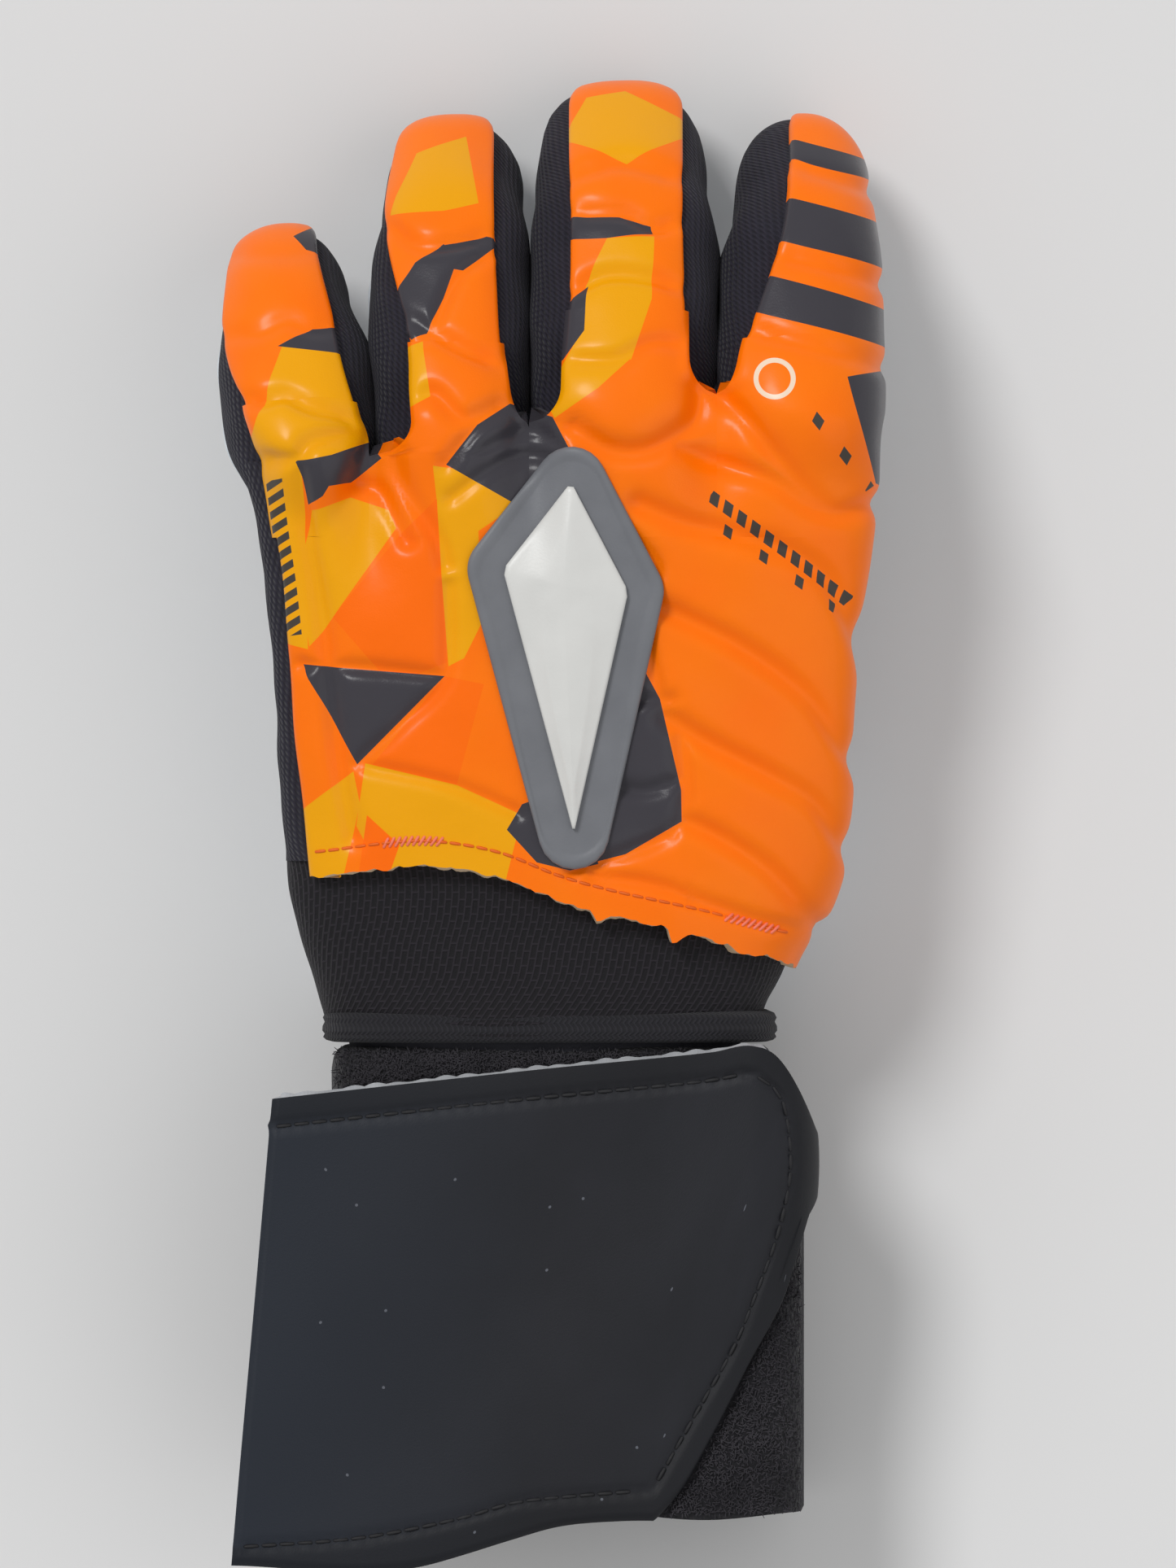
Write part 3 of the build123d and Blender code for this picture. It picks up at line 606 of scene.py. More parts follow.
def palm_latex():
    """Soft grip latex, foamed and peeled: matt, with fine pores."""
    material, tree, shader, plan = new_material("grip latex, foamed", 0.7)
    cloud = add(tree, "TexNoise", Vector=plan, Scale=1 / 12.0, Detail=3.0)
    tone = add(tree, "Mix", Factor_Float=cloud, A_Color=colour("#CBD3DB"),
        B_Color=colour("#DEE2E6"), data_type="RGBA", out=2)
    tree.links.new(tone, shader.inputs["Base Color"])
    pore = add(tree, "TexVoronoi", Vector=plan, Scale=1 / 0.8)
    height = add(tree, "Math", pore, add(tree, "TexNoise", Vector=plan, Scale=1 / 3.0,
        Detail=3.0), operation="ADD")
    tree.links.new(add(tree, "Bump", Height=height, Distance=0.12 * MM, Strength=0.6),
        shader.inputs["Normal"])
    return material


def plain(name, low, high, roughness, grain_mm, depth_mm, **sockets):
    """A material of one colour with a little cloudiness and a fine grain."""
    material, tree, shader, plan = new_material(name, roughness, **sockets)
    tone = add(tree, "Mix", Factor_Float=add(tree, "TexNoise", Vector=plan, Scale=1 / 9.0,
        Detail=3.0), A_Color=colour(low), B_Color=colour(high), data_type="RGBA", out=2)
    tree.links.new(tone, shader.inputs["Base Color"])
    tree.links.new(add(tree, "Bump", Height=add(tree, "TexNoise", Vector=plan,
        Scale=1 / grain_mm, Detail=3.0), Distance=depth_mm * MM, Strength=0.6),
        shader.inputs["Normal"])
    return material


gusset_mesh = ribbed_mesh()
wrist_air_mesh = air_mesh()
pile = loop_pile()
elastic = woven_elastic()
film = strap_film()
latex = palm_latex()
plate_rubber = plain("moulded rubber, charcoal", "#686A6F", "#7A7C81", 0.45, 0.4, 0.05,
                     Specular_IOR_Level=0.3)
badge_rubber = plain("moulded rubber, white", "#CFCFCC", "#DCDCD9", 0.38, 0.5, 0.04)
foam_core = plain("latex foam, cut edge", "#D8B48C", "#EAD3B4", 0.9, 0.5, 0.3)
orange_thread = plain("polyester thread, orange", "#D95A00", "#EE6A08", 0.6, 0.3, 0.05)
pink_thread = plain("polyester thread, pink", "#F06A50", "#F48C70", 0.6, 0.3, 0.05)
dark_thread = plain("polyester thread, charcoal", "#0E0E11", "#1B1B20", 0.7, 0.3, 0.05)
lining_cloth = plain("lining, brushed polyester", "#1C1C22", "#2A2A31", 0.95, 0.5, 0.1)
pale_edge = plain("polyurethane film, frayed cut edge", "#8F9298", "#CFD2D6", 0.8, 0.4, 0.2)
fibre = plain("polyester fibre, brushed", "#1A191D", "#454348", 0.9, 0.3, 0.05,
              Specular_IOR_Level=0.3)
hook_tape = plain("hook tape, moulded nylon", "#131316", "#1E1E22", 0.6, 0.9, 0.5)
print("materials", len(bpy.data.materials))

# %% [markdown]
# ## The shape of the hand
# Laid flat, a glove is an oval tube: its sides are the outline seen from above, its top
# is the pressed foam and its underside the latex palm. An oval with squared-off corners
# (a superellipse) gives every section. The outline was drawn every centimetre or so, and
# smooth lines join it.

# %% Hand section
hand_left = smooth([(-5, -40.5), (0, -41.5), (8, -44), (20, -47.5), (38, -49.5), (56, -50.3),
                    (68, -51.2), (80, -52.5), (92, -54), (104, -57), (116, -60)])
hand_right = smooth([(-5, 40.5), (0, 41.5), (8, 45), (14, 47.8), (20, 52), (26, 54.2),
                     (38, 56), (56, 56.2), (68, 57), (80, 58.5), (92, 60.3), (116, 61)])
panel_left = smooth([(24, -44.6), (46, -47), (68, -48.8), (80, -49.8), (92, -51.5),
                     (102, -53.2), (115, -55.8)])
middle_height = smooth([(-5, 25), (15, 31), (40, 39), (65, 42), (120, 42)])
palm_height = smooth([(-5, 2.8), (8, 2.8), (22, 13.5), (38, 26), (48, 27.5), (120, 30)])
hem_line = smooth([(-52, 26), (-44.5, 26.5), (-20, 28.5), (-9, 26.5), (2.5, 22), (13, 19.2),
                   (19.5, 17.8), (29, 15.7), (36.5, 13.6), (48, 10.8), (58, 9)])
HEM_TOP, BACK_RISE = 53.0, 0.073
HAND_END = 89.0
HAND_POWER = 3.0
# the height at which the cut between two fingers ends, from little finger to index
web_bottom = [104.5, 110.5, 116.0]


def back_top(y):
    return HEM_TOP + BACK_RISE * np.asarray(y, float)


def oval(centre, middle, half, up, down, power, start, end, count):
    """Evenly spaced (x, z) points on an oval, between two angles; 90 degrees is up."""
    angle = np.radians(np.linspace(start, end, 721))
    across, rise = np.cos(angle), np.sin(angle)
    x = centre + half * np.sign(across) * np.abs(across) ** (2 / power)
    tall = np.where(rise > 0, up, down)
    z = middle + tall * np.sign(rise) * np.abs(rise) ** (2 / power)
    run = np.insert(np.cumsum(np.hypot(np.diff(x), np.diff(z))), 0, 0)
    pick = np.linspace(0, run[-1], count)
    return np.interp(pick, run, x), np.interp(pick, run, z)


def angle_at(x, centre, half, power, limit=1.0):
    """The angle on the upper half of an oval at a place across it."""
    share = np.clip((x - centre) / half, -limit, limit)
    return math.degrees(math.acos(np.sign(share) * abs(share) ** (power / 2)))


def hand_oval(y, side_inset=(0, 0), top_inset=0.0, palm_inset=0.0):
    """Centre, middle height, half width, rise and drop of the hand's section at y."""
    left, right = hand_left(y) + side_inset[0], hand_right(y) - side_inset[1]
    middle = float(middle_height(y))
    return ((left + right) / 2, middle, (right - left) / 2,
            float(back_top(y)) - top_inset - middle, middle - float(palm_height(y)) - palm_inset)


def valleys(x, y):
    """How far the back sinks between the fingers as it nears them."""
    sink = 0
    for border, web in zip(shared, web_bottom):
        deep = 5.0 * ease(y, web - 34, web + 1)
        sink = sink + deep * np.exp(-((x - border) / 5.5) ** 2)
    return sink


def hand_row(y, start, end, count):
    """One row of the hand's back, between two angles."""
    x, z = oval(*hand_oval(y), HAND_POWER, start, end, count)
    z = z - valleys(x, y) * ease(z - float(middle_height(y)), 0, 12)
    return np.stack([x, np.full(count, float(y)), z], 1)


def hand_angle(x, y):
    centre, _, half, _, _ = hand_oval(y)
    return angle_at(x, centre, half, HAND_POWER)


RIGHT_ROLL = -14.0
print("hand is", round(float(hand_right(60) - hand_left(60)), 1), "mm wide")

# %% [markdown]
# ## The shape of a finger
# A finger is an oval tube round a line that bends at its two joints. The line is drawn
# through the joints of the frame and its corners are rounded. Near the tip the section
# shrinks as a dome does. The foam on the back and the latex below are patches of it.

# %% Finger sections
slope_base = {n: math.degrees(math.atan2(knuckle[n][2] - middle_joint[n][2],
                                         middle_joint[n][1] - knuckle[n][1])) for n in FINGERS}
slope_tip = {"little": 56.0, "ring": 49.0, "middle": 47.5, "index": 48.5}
tube_left = {
    "little": smooth([(88, -52.9), (95, -54.3), (104, -57), (116, -60), (128, -61.5), (134, -61.3),
                      (150, -59.5)]),
    "ring": smooth([(95, -32.5), (116, -32.5), (140, -33.6), (150, -32.5), (158, -31.5),
                    (170, -30)]),
    "middle": smooth([(95, -3.8), (140, -3.8), (152, -3.4), (158, -3.0), (175, -1.8)]),
    "index": smooth([(95, 30.3), (125, 30.5), (140, 30.9), (148, 31.6), (156, 33.4), (170, 35)]),
}
tube_right = {
    "little": smooth([(95, -33), (116, -31.4), (128, -32.5), (136, -35.2), (142, -37.0),
                      (150, -38.5)]),
    "ring": smooth([(95, -3.2), (116, -3.2), (140, -3.3), (152, -3.7), (158, -4.6), (170, -5.5)]),
    "middle": smooth([(95, 30.9), (125, 31.2), (140, 31.6), (150, 31.5), (158, 30.2), (175, 28.6)]),
    "index": smooth([(95, 60), (120, 60.4), (140, 60.2), (152, 59.6), (158, 59), (170, 57)]),
}
foam_left = {
    "little": smooth([(89, -51), (102, -53.2), (115, -55.8), (122, -58.2), (132, -59.8),
                      (150, -58)]),
    "ring": smooth([(104, -25.0), (114, -25.0), (124, -25.3), (134, -27.5), (143, -29.3),
                    (152, -29.8), (168, -27.5)]),
    "middle": smooth([(104, 0.5), (116, 2.5), (128, 3.6), (170, 3.8)]),
    "index": smooth([(112, 33.5), (121, 34.8), (132, 38.5), (143, 42.3), (158, 44.4), (170, 44.5)]),
}
foam_right = {
    "little": smooth([(104, -33.3), (107, -33.5), (115, -36.4), (122, -38.4), (129, -39.7),
                      (141, -42.8), (150, -44)]),
    "ring": smooth([(104, -6.0), (113, -7), (123, -9), (138, -10), (168, -10.6)]),
    "middle": smooth([(104, 28.0), (114, 26.5), (124, 25.0), (138, 24.5), (170, 24.3)]),
    "index": smooth([(100, 62), (170, 62)]),
}
UP_ROOT, UP_MIDDLE, UP_TIP = 18.8, 15.0, 12.5
DOWN_ROOT, DOWN_MIDDLE, DOWN_TIP = 12.6, 11.0, 9.5
FINGER_POWER = 2.35
FOAM_PROUD = 1.6
DOME = 15.0


class Finger:
    """The line, sections and borders of one finger."""

    def __init__(self, name, length):
        self.name = name
        self.place = FINGERS.index(name)
        ky, kz = knuckle[name][1:]
        my, mz = middle_joint[name][1:]
        turn = math.radians(slope_tip[name])
        base = math.hypot(my - ky, mz - kz)
        tail = (my + 60 * math.cos(turn), mz - 60 * math.sin(turn))
        run = np.array([-60.0, 0.0, base, base + 60])
        s = np.arange(-50, base + 50, 0.5)
        line = np.stack([np.interp(s, run, [ky - 60, ky, my, tail[0]]),
                         np.interp(s, run, [kz, kz, mz, tail[1]])], 1)
        window = np.hanning(39)
        window /= window.sum()
        line = np.stack([np.convolve(line[:, k], window, "same") for k in (0, 1)], 1)
        self.s, self.line = s[20:-20], line[20:-20]
        slope = np.gradient(self.line, axis=0)
        slope /= np.linalg.norm(slope, axis=1, keepdims=True)
        self.up_way = np.stack([-slope[:, 1], slope[:, 0]], 1)
        self.base, self.end = base, base + length
        crown = self.line[:, 0] + self.rise(self.s)[0] * self.up_way[:, 0]
        self.crown = np.maximum.accumulate(crown)

    def rise(self, s):
        stops = [-20, 0, self.base, self.end]
        return (np.interp(s, stops, [UP_ROOT, UP_ROOT, UP_MIDDLE, UP_TIP]),
                np.interp(s, stops, [DOWN_ROOT, DOWN_ROOT, DOWN_MIDDLE, DOWN_TIP]))

    def s_at(self, crown_y):
        return np.interp(crown_y, self.crown, self.s)

    def row(self, s, edges, count, proud=0.0, lower=0.0, sunk=0.0):
        """Points of one section. edges are two angles, or two places across the back."""
        y = float(np.interp(s, self.s, self.crown))
        left, right = float(tube_left[self.name](y)), float(tube_right[self.name](y))
        up, down = (float(v) for v in self.rise(s))
        up = up * (1 - sunk * (1 - float(ease(s, 1, 15))))
        share = np.clip((s - (self.end - DOME)) / DOME, 0, 1)
        shrink = (1 - share ** 2.2) ** (1 / 2.2)
        centre, half = (left + right) / 2, (right - left) / 2
        start, end = edges
        if isinstance(start, tuple):
            start = angle_at(start[0], centre, half, FINGER_POWER, 0.88)
        if isinstance(end, tuple):
            end = angle_at(end[0], centre, half, FINGER_POWER, 0.88)
        x, h = oval(centre, 0, (half + proud) * shrink, (up + proud) * shrink,
                    (down + lower) * shrink, FINGER_POWER, start, end, count)
        way = [np.interp(s, self.s, self.up_way[:, k]) for k in (0, 1)]
        spot = [np.interp(s, self.s, self.line[:, k]) for k in (0, 1)]
        return np.stack([x, spot[0] + h * way[0], spot[1] + h * way[1]], 1)


def fitted(name):
    """The finger whose foremost point reaches the frame's fingertip."""
    target = box_mm(f"{name}_tip_back")[1][1]
    length = 26.0
    for _ in range(5):
        finger = Finger(name, length)
        spots = [finger.row(s, (180, 0), 41, FOAM_PROUD) for s in
                 np.linspace(finger.end - DOME, finger.end - 0.2, 30)]
        reach = max(float(row[:, 1].max()) for row in spots)
        length += (target - reach) / math.cos(math.radians(slope_tip[name]))
    return Finger(name, length)


fingers = {name: fitted(name) for name in FINGERS}
for name, finger in fingers.items():
    print(name, "base", round(finger.base, 1), "tip", round(finger.end - finger.base, 1))

# %% [markdown]
# ## Pressed relief
# Heat pressing leaves grooves between pillows of foam, and lets the hand bend there.
# They are real dents in the mesh, not bump, so that the outline and the other views
# show them. Each groove is a smooth line with a width and a depth.

# %% Grooves and pillows
GROOVES = [
    # width, depth, points
    (2.4, 1.7, [(4.5, 109), (11.5, 105), (18, 105), (24.5, 108.5), (27, 112), (27.2, 117)]),
    (2.2, 1.6, [(24, 105.5), (29.5, 103), (40.5, 99.5), (47.5, 95), (54, 93.5), (61, 95.5)]),
    (2.0, 1.3, [(29, 116), (35, 112), (41, 104.5), (47.5, 97), (53, 93.5)]),
    (2.4, 1.6, [(16.5, 95), (25, 91.5), (33.5, 89.5), (43.5, 86.5), (50.5, 82), (55, 75), (59, 66)]),
    (2.3, 1.6, [(16, 78), (25, 74), (36.5, 68), (47, 60), (54, 51), (58, 46)]),
    (2.3, 1.6, [(21.5, 56), (29.5, 51), (40, 45.5), (49, 40), (55, 32), (58, 28)]),
    (2.2, 1.5, [(25, 37), (32, 33.5), (40, 28), (47, 20.5), (52, 14)]),
    (1.6, 1.0, [(8, 27), (19.5, 25), (29.5, 21.5), (40, 18), (50, 17)]),
    (2.4, 1.4, [(-46, 101), (-45, 92), (-42, 74), (-40, 58), (-38, 44), (-36, 34)]),
    (1.8, 1.2, [(-36, 99), (-31, 97.5), (-28.5, 93), (-26, 88)]),
    (1.8, 1.2, [(-28.3, 106), (-27, 99), (-20.7, 89), (-19, 84)]),
    (1.7, 1.0, [(-35.5, 47.3), (-27, 55), (-19.2, 63.5), (-18.5, 80)]),
    (1.7, 1.0, [(-45.8, 65.6), (-33, 65), (-19.2, 63.5)]),
    (1.6, 0.9, [(-33.5, 47), (-18, 43.5), (-6, 38.5)]),
    (1.8, 1.1, [(7.5, 97), (14, 90), (19.6, 83.3), (15.5, 78.5), (17, 74), (20.5, 59), (24, 52.5),
                (24.2, 37), (14, 31), (4, 27.8)]),
    (1.8, 1.1, [(-18.9, 102.2), (-13, 109.5), (-7.2, 113)]),
    (1.9, 1.2, [(12, 58), (18, 59.5), (22, 59)]),
    (1.7, 1.1, [(13, 43), (18, 42.5), (24.5, 44.5)]),
    (1.5, 0.9, [(-18, 96), (-8, 103), (0, 103.5), (6, 98)]),
    (1.5, 0.8, [(-12, 105), (-4, 108.5), (2, 106)]),
    (2.0, 0.45, [(-60, 142), (-54, 141.8), (-44, 142), (-40, 142)]),
    (2.0, 0.7, [(-60, 126.5), (-53.5, 127), (-48.5, 129), (-43.5, 127.5), (-38, 128)]),
    (2.0, 1.3, [(-57, 114), (-53, 114.3), (-48.5, 115.3), (-43.5, 113.3), (-35, 110.5)]),
    (2.0, 1.4, [(-55, 103), (-47, 103), (-43.5, 106.5), (-36, 107.8), (-32, 106.5)]),
    (2.0, 1.2, [(-27, 129.5), (-21.8, 127), (-15, 123.5), (-9, 121)]),
    (2.0, 1.3, [(-25.5, 114), (-21, 115), (-15.5, 110.5), (-8, 113.5), (-4, 114)]),
    (1.8, 1.1, [(-30, 146.5), (-24, 143), (-17, 143.5), (-10, 145)]),
    (1.6, 0.9, [(-26.5, 125), (-22, 126.5), (-19, 133.5), (-15.5, 138.5), (-9, 142.5)]),
    (1.8, 1.1, [(2, 155), (8, 157.5), (14, 158.8), (26, 155.5)]),
    (1.8, 1.1, [(1, 149), (13, 149), (19, 146.5), (26, 147.5)]),
    (1.8, 1.2, [(2, 133.5), (10, 137.5), (18.5, 137), (26, 134.5)]),
    (1.8, 1.2, [(2, 121.5), (12, 121.5), (19, 124.5), (26, 124)]),
    (1.9, 1.0, [(44, 158.5), (52, 156.5), (62, 153)]),
    (1.9, 1.1, [(41, 141.5), (50, 139.5), (62, 136)]),
    (1.9, 1.1, [(36, 127.5), (46, 124.8), (62, 120.5)]),
]
groove_lines = [(0.88 * width, 1.3 * depth, curve(points, 6 * len(points)))
                for width, depth, points in GROOVES]


def relief(x, y):
    """Height of the pressed surface above the plain foam, in millimetres."""
    cut = np.zeros(np.shape(x))
    for width, depth, line in groove_lines:
        away = distance_to(line, x, y)
        cut = np.maximum(cut, depth * np.exp(-((away / width) ** 2)))
    swell = 0.22 * np.sin(x / 5.1 + 0.7) * np.sin(y / 6.3 + 1.9) + 0.12 * np.sin((x + y) / 3.1)
    # the foam is thinner where it turns down at the index side, and so are its grooves
    return (swell - cut) * (1 - 0.27 * ease(x, 36, 48))


def pressed(grid, side=None, fade=None):
    """The grid with the relief pressed in. side is how far each point leans outwards, and
    fade is how far the grooves run out towards the sheet's two sides."""
    x, y = grid[..., 0], grid[..., 1]
    keep = 1.0
    if fade is not None:
        run = np.insert(np.cumsum(np.linalg.norm(np.diff(grid, axis=1), axis=2), axis=1), 0, 0, 1)
        edge = np.minimum(run, run[:, -1:] - run)
        keep = 1 - 0.65 * fade * (1 - ease(edge, 0, 4.5))
    normal = normals_of(grid)
    lean = np.ones(grid.shape[:2]) if side is None else side
    way = normal * lean[..., None]
    way[..., 2] += 1 - lean
    way /= np.linalg.norm(way, axis=2, keepdims=True)
    return grid + way * (relief(x, y) * keep)[..., None]

# %% [markdown]
# ## The foam of the backhand
# One pressed foam panel covers the hand, cut straight across at the wrist, and runs on
# over each finger. On a jointed model it can't be one mesh, because cloth can only bend
# between two bodies: so it is cut at the knuckle row and in a flex groove half way up
# each finger, where both sides move alike and the cut can't open.

# %% Backhand foam
FOAM = 5.5
stray = random.Random(4)


def hand_edges(y):
    return hand_angle(float(panel_left(y)), y), RIGHT_ROLL


columns, rows = 150, 96
hand_plan = []
first = hand_row(26.0, *hand_edges(26.0), columns)
ragged = [0.3 * math.sin(0.9 * c) * math.sin(0.23 * c + 1) + stray.uniform(-0.15, 0.15)
          for c in range(columns)]
# shreds of foam left hanging by the blade: place across, length, half width
SHREDS = [(9.2, 1.5, 1.3), (24.6, 2.2, 1.4), (-30.0, 0.7, 1.5), (38.0, 0.8, 2.0)]
for r in range(rows):
    share = (r / (rows - 1)) ** 0.9
    line = []
    for c in range(columns):
        start_y = float(hem_line(first[c, 0])) + ragged[c]
        start_y -= sum(h * math.exp(-(((first[c, 0] - x) / w) ** 2)) for x, h, w in SHREDS)
        line.append(start_y + (HAND_END - start_y) * share)
    hand_plan.append(line)
hand_plan = np.array(hand_plan)
levels = np.linspace(hand_plan.min() - 0.01, HAND_END, 160)
stack = np.array([hand_row(y, *hand_edges(y), columns) for y in levels])
hand_grid = np.zeros((rows, columns, 3))
for c in range(columns):
    for k in (0, 2):
        hand_grid[:, c, k] = np.interp(hand_plan[:, c], levels, stack[:, c, k])
    hand_grid[:, c, 1] = hand_plan[:, c]


def outer_lean(grid):
    """0 on the flat of the back, 1 where it turns down at the sides."""
    return ease(np.abs(grid[..., 0] - 3.5), 38, 50)


plain_hand = hand_grid.copy()
foam_grid = rolled(pressed(hand_grid, outer_lean(hand_grid)), 2.0, "l")
# the blade leans, so the pale core of the foam shows along the cut
foam_under = foam_grid - normals_of(foam_grid) * FOAM
foam_under[0, :, 1] -= [0.55 + 0.35 * abs(math.sin(0.7 * c)) for c in range(columns)]
backhand = make_sheet("backhand_foam", foam_grid, foam_under, [hand_foam, foam_core],
                      plan=plain_hand[..., :2], rim_slots=[("s", 1)])
declare(backhand, "backhand_foam", "backhand_panel", body="hand", fill=0.9)
print("backhand foam", len(backhand.data.vertices), "points")


# %% Pieces at the finger joints
def blend_knuckle(piece, name):
    """Bends a piece over the knuckle: it follows the hand before it, the finger after."""
    # Bakes a piece's transform into its mesh; the places either side of the knuckle are worked out but
    # not used.
    place = knuckle[name]
    tuple(to_metres(place - np.array([0, 12, 0])))
    tuple(to_metres(place + np.array([0, 12, -4])))
    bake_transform(piece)


def blend_middle(piece, name):
    """Bakes a piece's transform into its mesh; the places either side of the middle joint are worked out
    but not used.
    """
    place = middle_joint[name]
    low, high = math.radians(slope_base[name]), math.radians(slope_tip[name])
    tuple(to_metres(place - 9 * np.array([0, math.cos(low), -math.sin(low)])))
    tuple(to_metres(place + 9 * np.array([0, math.cos(high), -math.sin(high)])))
    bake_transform(piece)


print("bends over", 2 * len(FINGERS), "finger joints")

# %% Finger foam
JOIN = {"little": 114.5, "ring": 125.0, "middle": 131.0, "index": 126.0}


def border(name, y, side):
    """Where the finger's foam ends across, left or right, at a place along it."""
    k = FINGERS.index(name) - (1 if side == "left" else 0)
    line = (foam_left if side == "left" else foam_right)[name]
    if 0 <= k < len(shared):
        # the cut ends in a round bottom, so the gap opens as a quarter circle does
        rise = min(max((y - web_bottom[k] + 0.5) / 6.5, 0.0), 1.0)
        away = math.sqrt(1 - (1 - rise) ** 2)
        return shared[k] * (1 - away) + float(line(y)) * away
    return float(line(y))


def finger_edges(name, y):
    finger = fingers[name]
    left = (border(name, y, "left"),)
    right = -10.0 if name == "index" else (border(name, y, "right"),)
    return left, right


def back_row(name, s, y, count):
    """A row of foam over a finger's root, turning from the hand's shape to the finger's."""
    finger = fingers[name]
    left, right = finger_edges(name, y)
    over_finger = finger.row(s, (left, right), count, FOAM_PROUD)
    start = hand_angle(left[0], y)
    end = RIGHT_ROLL if name == "index" else hand_angle(right[0], y)
    over_hand = hand_row(y, start, end, count)
    q = np.linspace(-1, 1, count)
    k = finger.place
    webs = (web_bottom[k - 1] if k > 0 else knuckle[name][1],
            web_bottom[k] if k < len(web_bottom) else knuckle[name][1])
    from_web = np.where(q < 0, webs[0], webs[1])
    begin = (knuckle[name][1] - 12) + (from_web - knuckle[name][1] + 10.5) * np.abs(q) ** 2
    turn = ease(y, begin, begin + 16)[:, None]
    return over_hand * (1 - turn) + over_finger * turn


for name, finger in fingers.items():
    count = {"little": 34, "ring": 34, "middle": 38, "index": 50}[name]
    crowns = np.linspace(HAND_END, JOIN[name], int((JOIN[name] - HAND_END) / 0.85))
    grid = np.array([back_row(name, finger.s_at(y), y, count) for y in crowns])
    lean = outer_lean(grid) if name in ("little", "index") else np.zeros(grid.shape[:2])
    lean = np.maximum(lean, ease(crowns, JOIN[name] - 7, JOIN[name])[:, None])
    sides = "lr" if name != "index" else "l"
    k = finger.place
    first_web = web_bottom[k - 1] if k > 0 else HAND_END - 5
    last_web = web_bottom[k] if k < len(web_bottom) else 200
    free_l = ease(grid[..., 1], first_web, first_web + 5)
    free_r = ease(grid[..., 1], last_web, last_web + 5)
    q = np.linspace(0, 1, count)[None, :]
    share = free_l * (q < 0.5) + free_r * (q >= 0.5)
    shaped = pressed(grid, lean, share)
    soft = rolled(shaped, 1.7, sides, (0, 0, 1))
    share = share[..., None]
    low = shaped * (1 - share) + soft * share
    piece = make_sheet(f"{name}_foam_lower", low, 4.6, [finger_foam[name, "lower"]],
                       plan=grid[..., :2])
    blend_knuckle(piece, name)
    declare(piece, "backhand_foam", f"{name}_base_back", fill=0.9)

    first = float(finger.s_at(JOIN[name]))
    straight = np.arange(first, finger.end - DOME, 0.85)
    domed = finger.end - DOME + DOME * np.sin(np.linspace(0, math.radians(70), 20))
    spots = np.concatenate([straight, domed])
    grid = []
    for s in spots:
        y = float(np.interp(s, finger.s, finger.crown))
        grid.append(finger.row(s, finger_edges(name, y), count, FOAM_PROUD))
    grid = np.array(grid)
    q = np.linspace(0, 1, count)[None, :]
    shaped = pressed(grid, None, np.where((name == "index") & (q > 0.5), 0.0, 1.0))
    soft = rolled(shaped, 1.7, sides)
    cap = rolled(soft, 1.6, "e")
    # the foam is skived thinner at the fingertip, where its sides close in
    skived = 4.4 - 3.0 * ease(spots, finger.end - 6, finger.end - 1)
    upper = make_sheet(f"{name}_foam_upper", cap, cap - normals_of(cap) * skived[:, None, None],
                       [finger_foam[name, "upper"]], plan=grid[..., :2])
    blend_middle(upper, name)
    declare(upper, "backhand_foam", f"{name}_tip_back", fill=0.9)
print("finger foams", 2 * len(fingers))

# %% [markdown]
# ## Socks of ribbed mesh
# Under the foam and the latex, a glove is a sock of mesh: its sides are what shows
# between the fingers. Each sock is a closed tube, so there is never a hole in a seam.

# %% Socks
def ring_tube(name, outer, inner, materials):
    """A closed tube from rings of points, with an inside wall."""
    piece = make_sheet(name, outer, np.asarray(inner), materials, rims="se")
    shell = bmesh.new()
    shell.from_mesh(piece.data)
    bmesh.ops.remove_doubles(shell, verts=shell.verts, dist=2e-6)
    bmesh.ops.dissolve_degenerate(shell, edges=shell.edges, dist=1e-6)
    shell.to_mesh(piece.data)
    shell.free()
    return piece


def creased(grid, depth):
    """Soft creases in a hanging cloth side."""
    normal = normals_of(grid)
    x, y, z = grid[..., 0], grid[..., 1], grid[..., 2]
    fold = (np.sin(y / 2.9 + z / 4.1) * np.sin(y / 7.3 + x / 9.0)
            + 0.6 * np.sin(y / 4.7 - z / 3.3 + x / 5.0))
    return grid + normal * (depth * fold)[..., None]


def hand_ring(y, count, sides=(0.0, 2.0), top=3.4, palm=0.6):
    shape = hand_oval(y, sides, top, palm)
    x, z = oval(*shape, HAND_POWER, 180, -180, count)
    z = z - valleys(x, y) * ease(z - float(middle_height(y)), 0, 12)
    return np.stack([x, np.full(count, float(y)), z], 1)


RING = 121
BENDS = {"lower": (blend_knuckle, "base"), "upper": (blend_middle, "tip")}
levels = np.linspace(29.5, 103, 80)
outer = [hand_ring(y, RING) for y in levels]
inner = [hand_ring(y, RING, (1.2, 3.2), 4.6, 1.8) for y in levels]
closing = np.array(outer[-1]).mean(axis=0)
for share in (0.6, 0.2, 0.0):
    outer.append(closing + (np.array(outer[79]) - closing) * share + [0, 1.5 * (1 - share), 0])
    inner.append(closing + (np.array(inner[79]) - closing) * share + [0, 0.4 * (1 - share), 0])
hand_sock = ring_tube("hand_sock", creased(np.array(outer), 0.22), inner, [gusset_mesh])
declare(hand_sock, "gusset_mesh", "side_gusset_little", "side_gusset_index", body="hand")


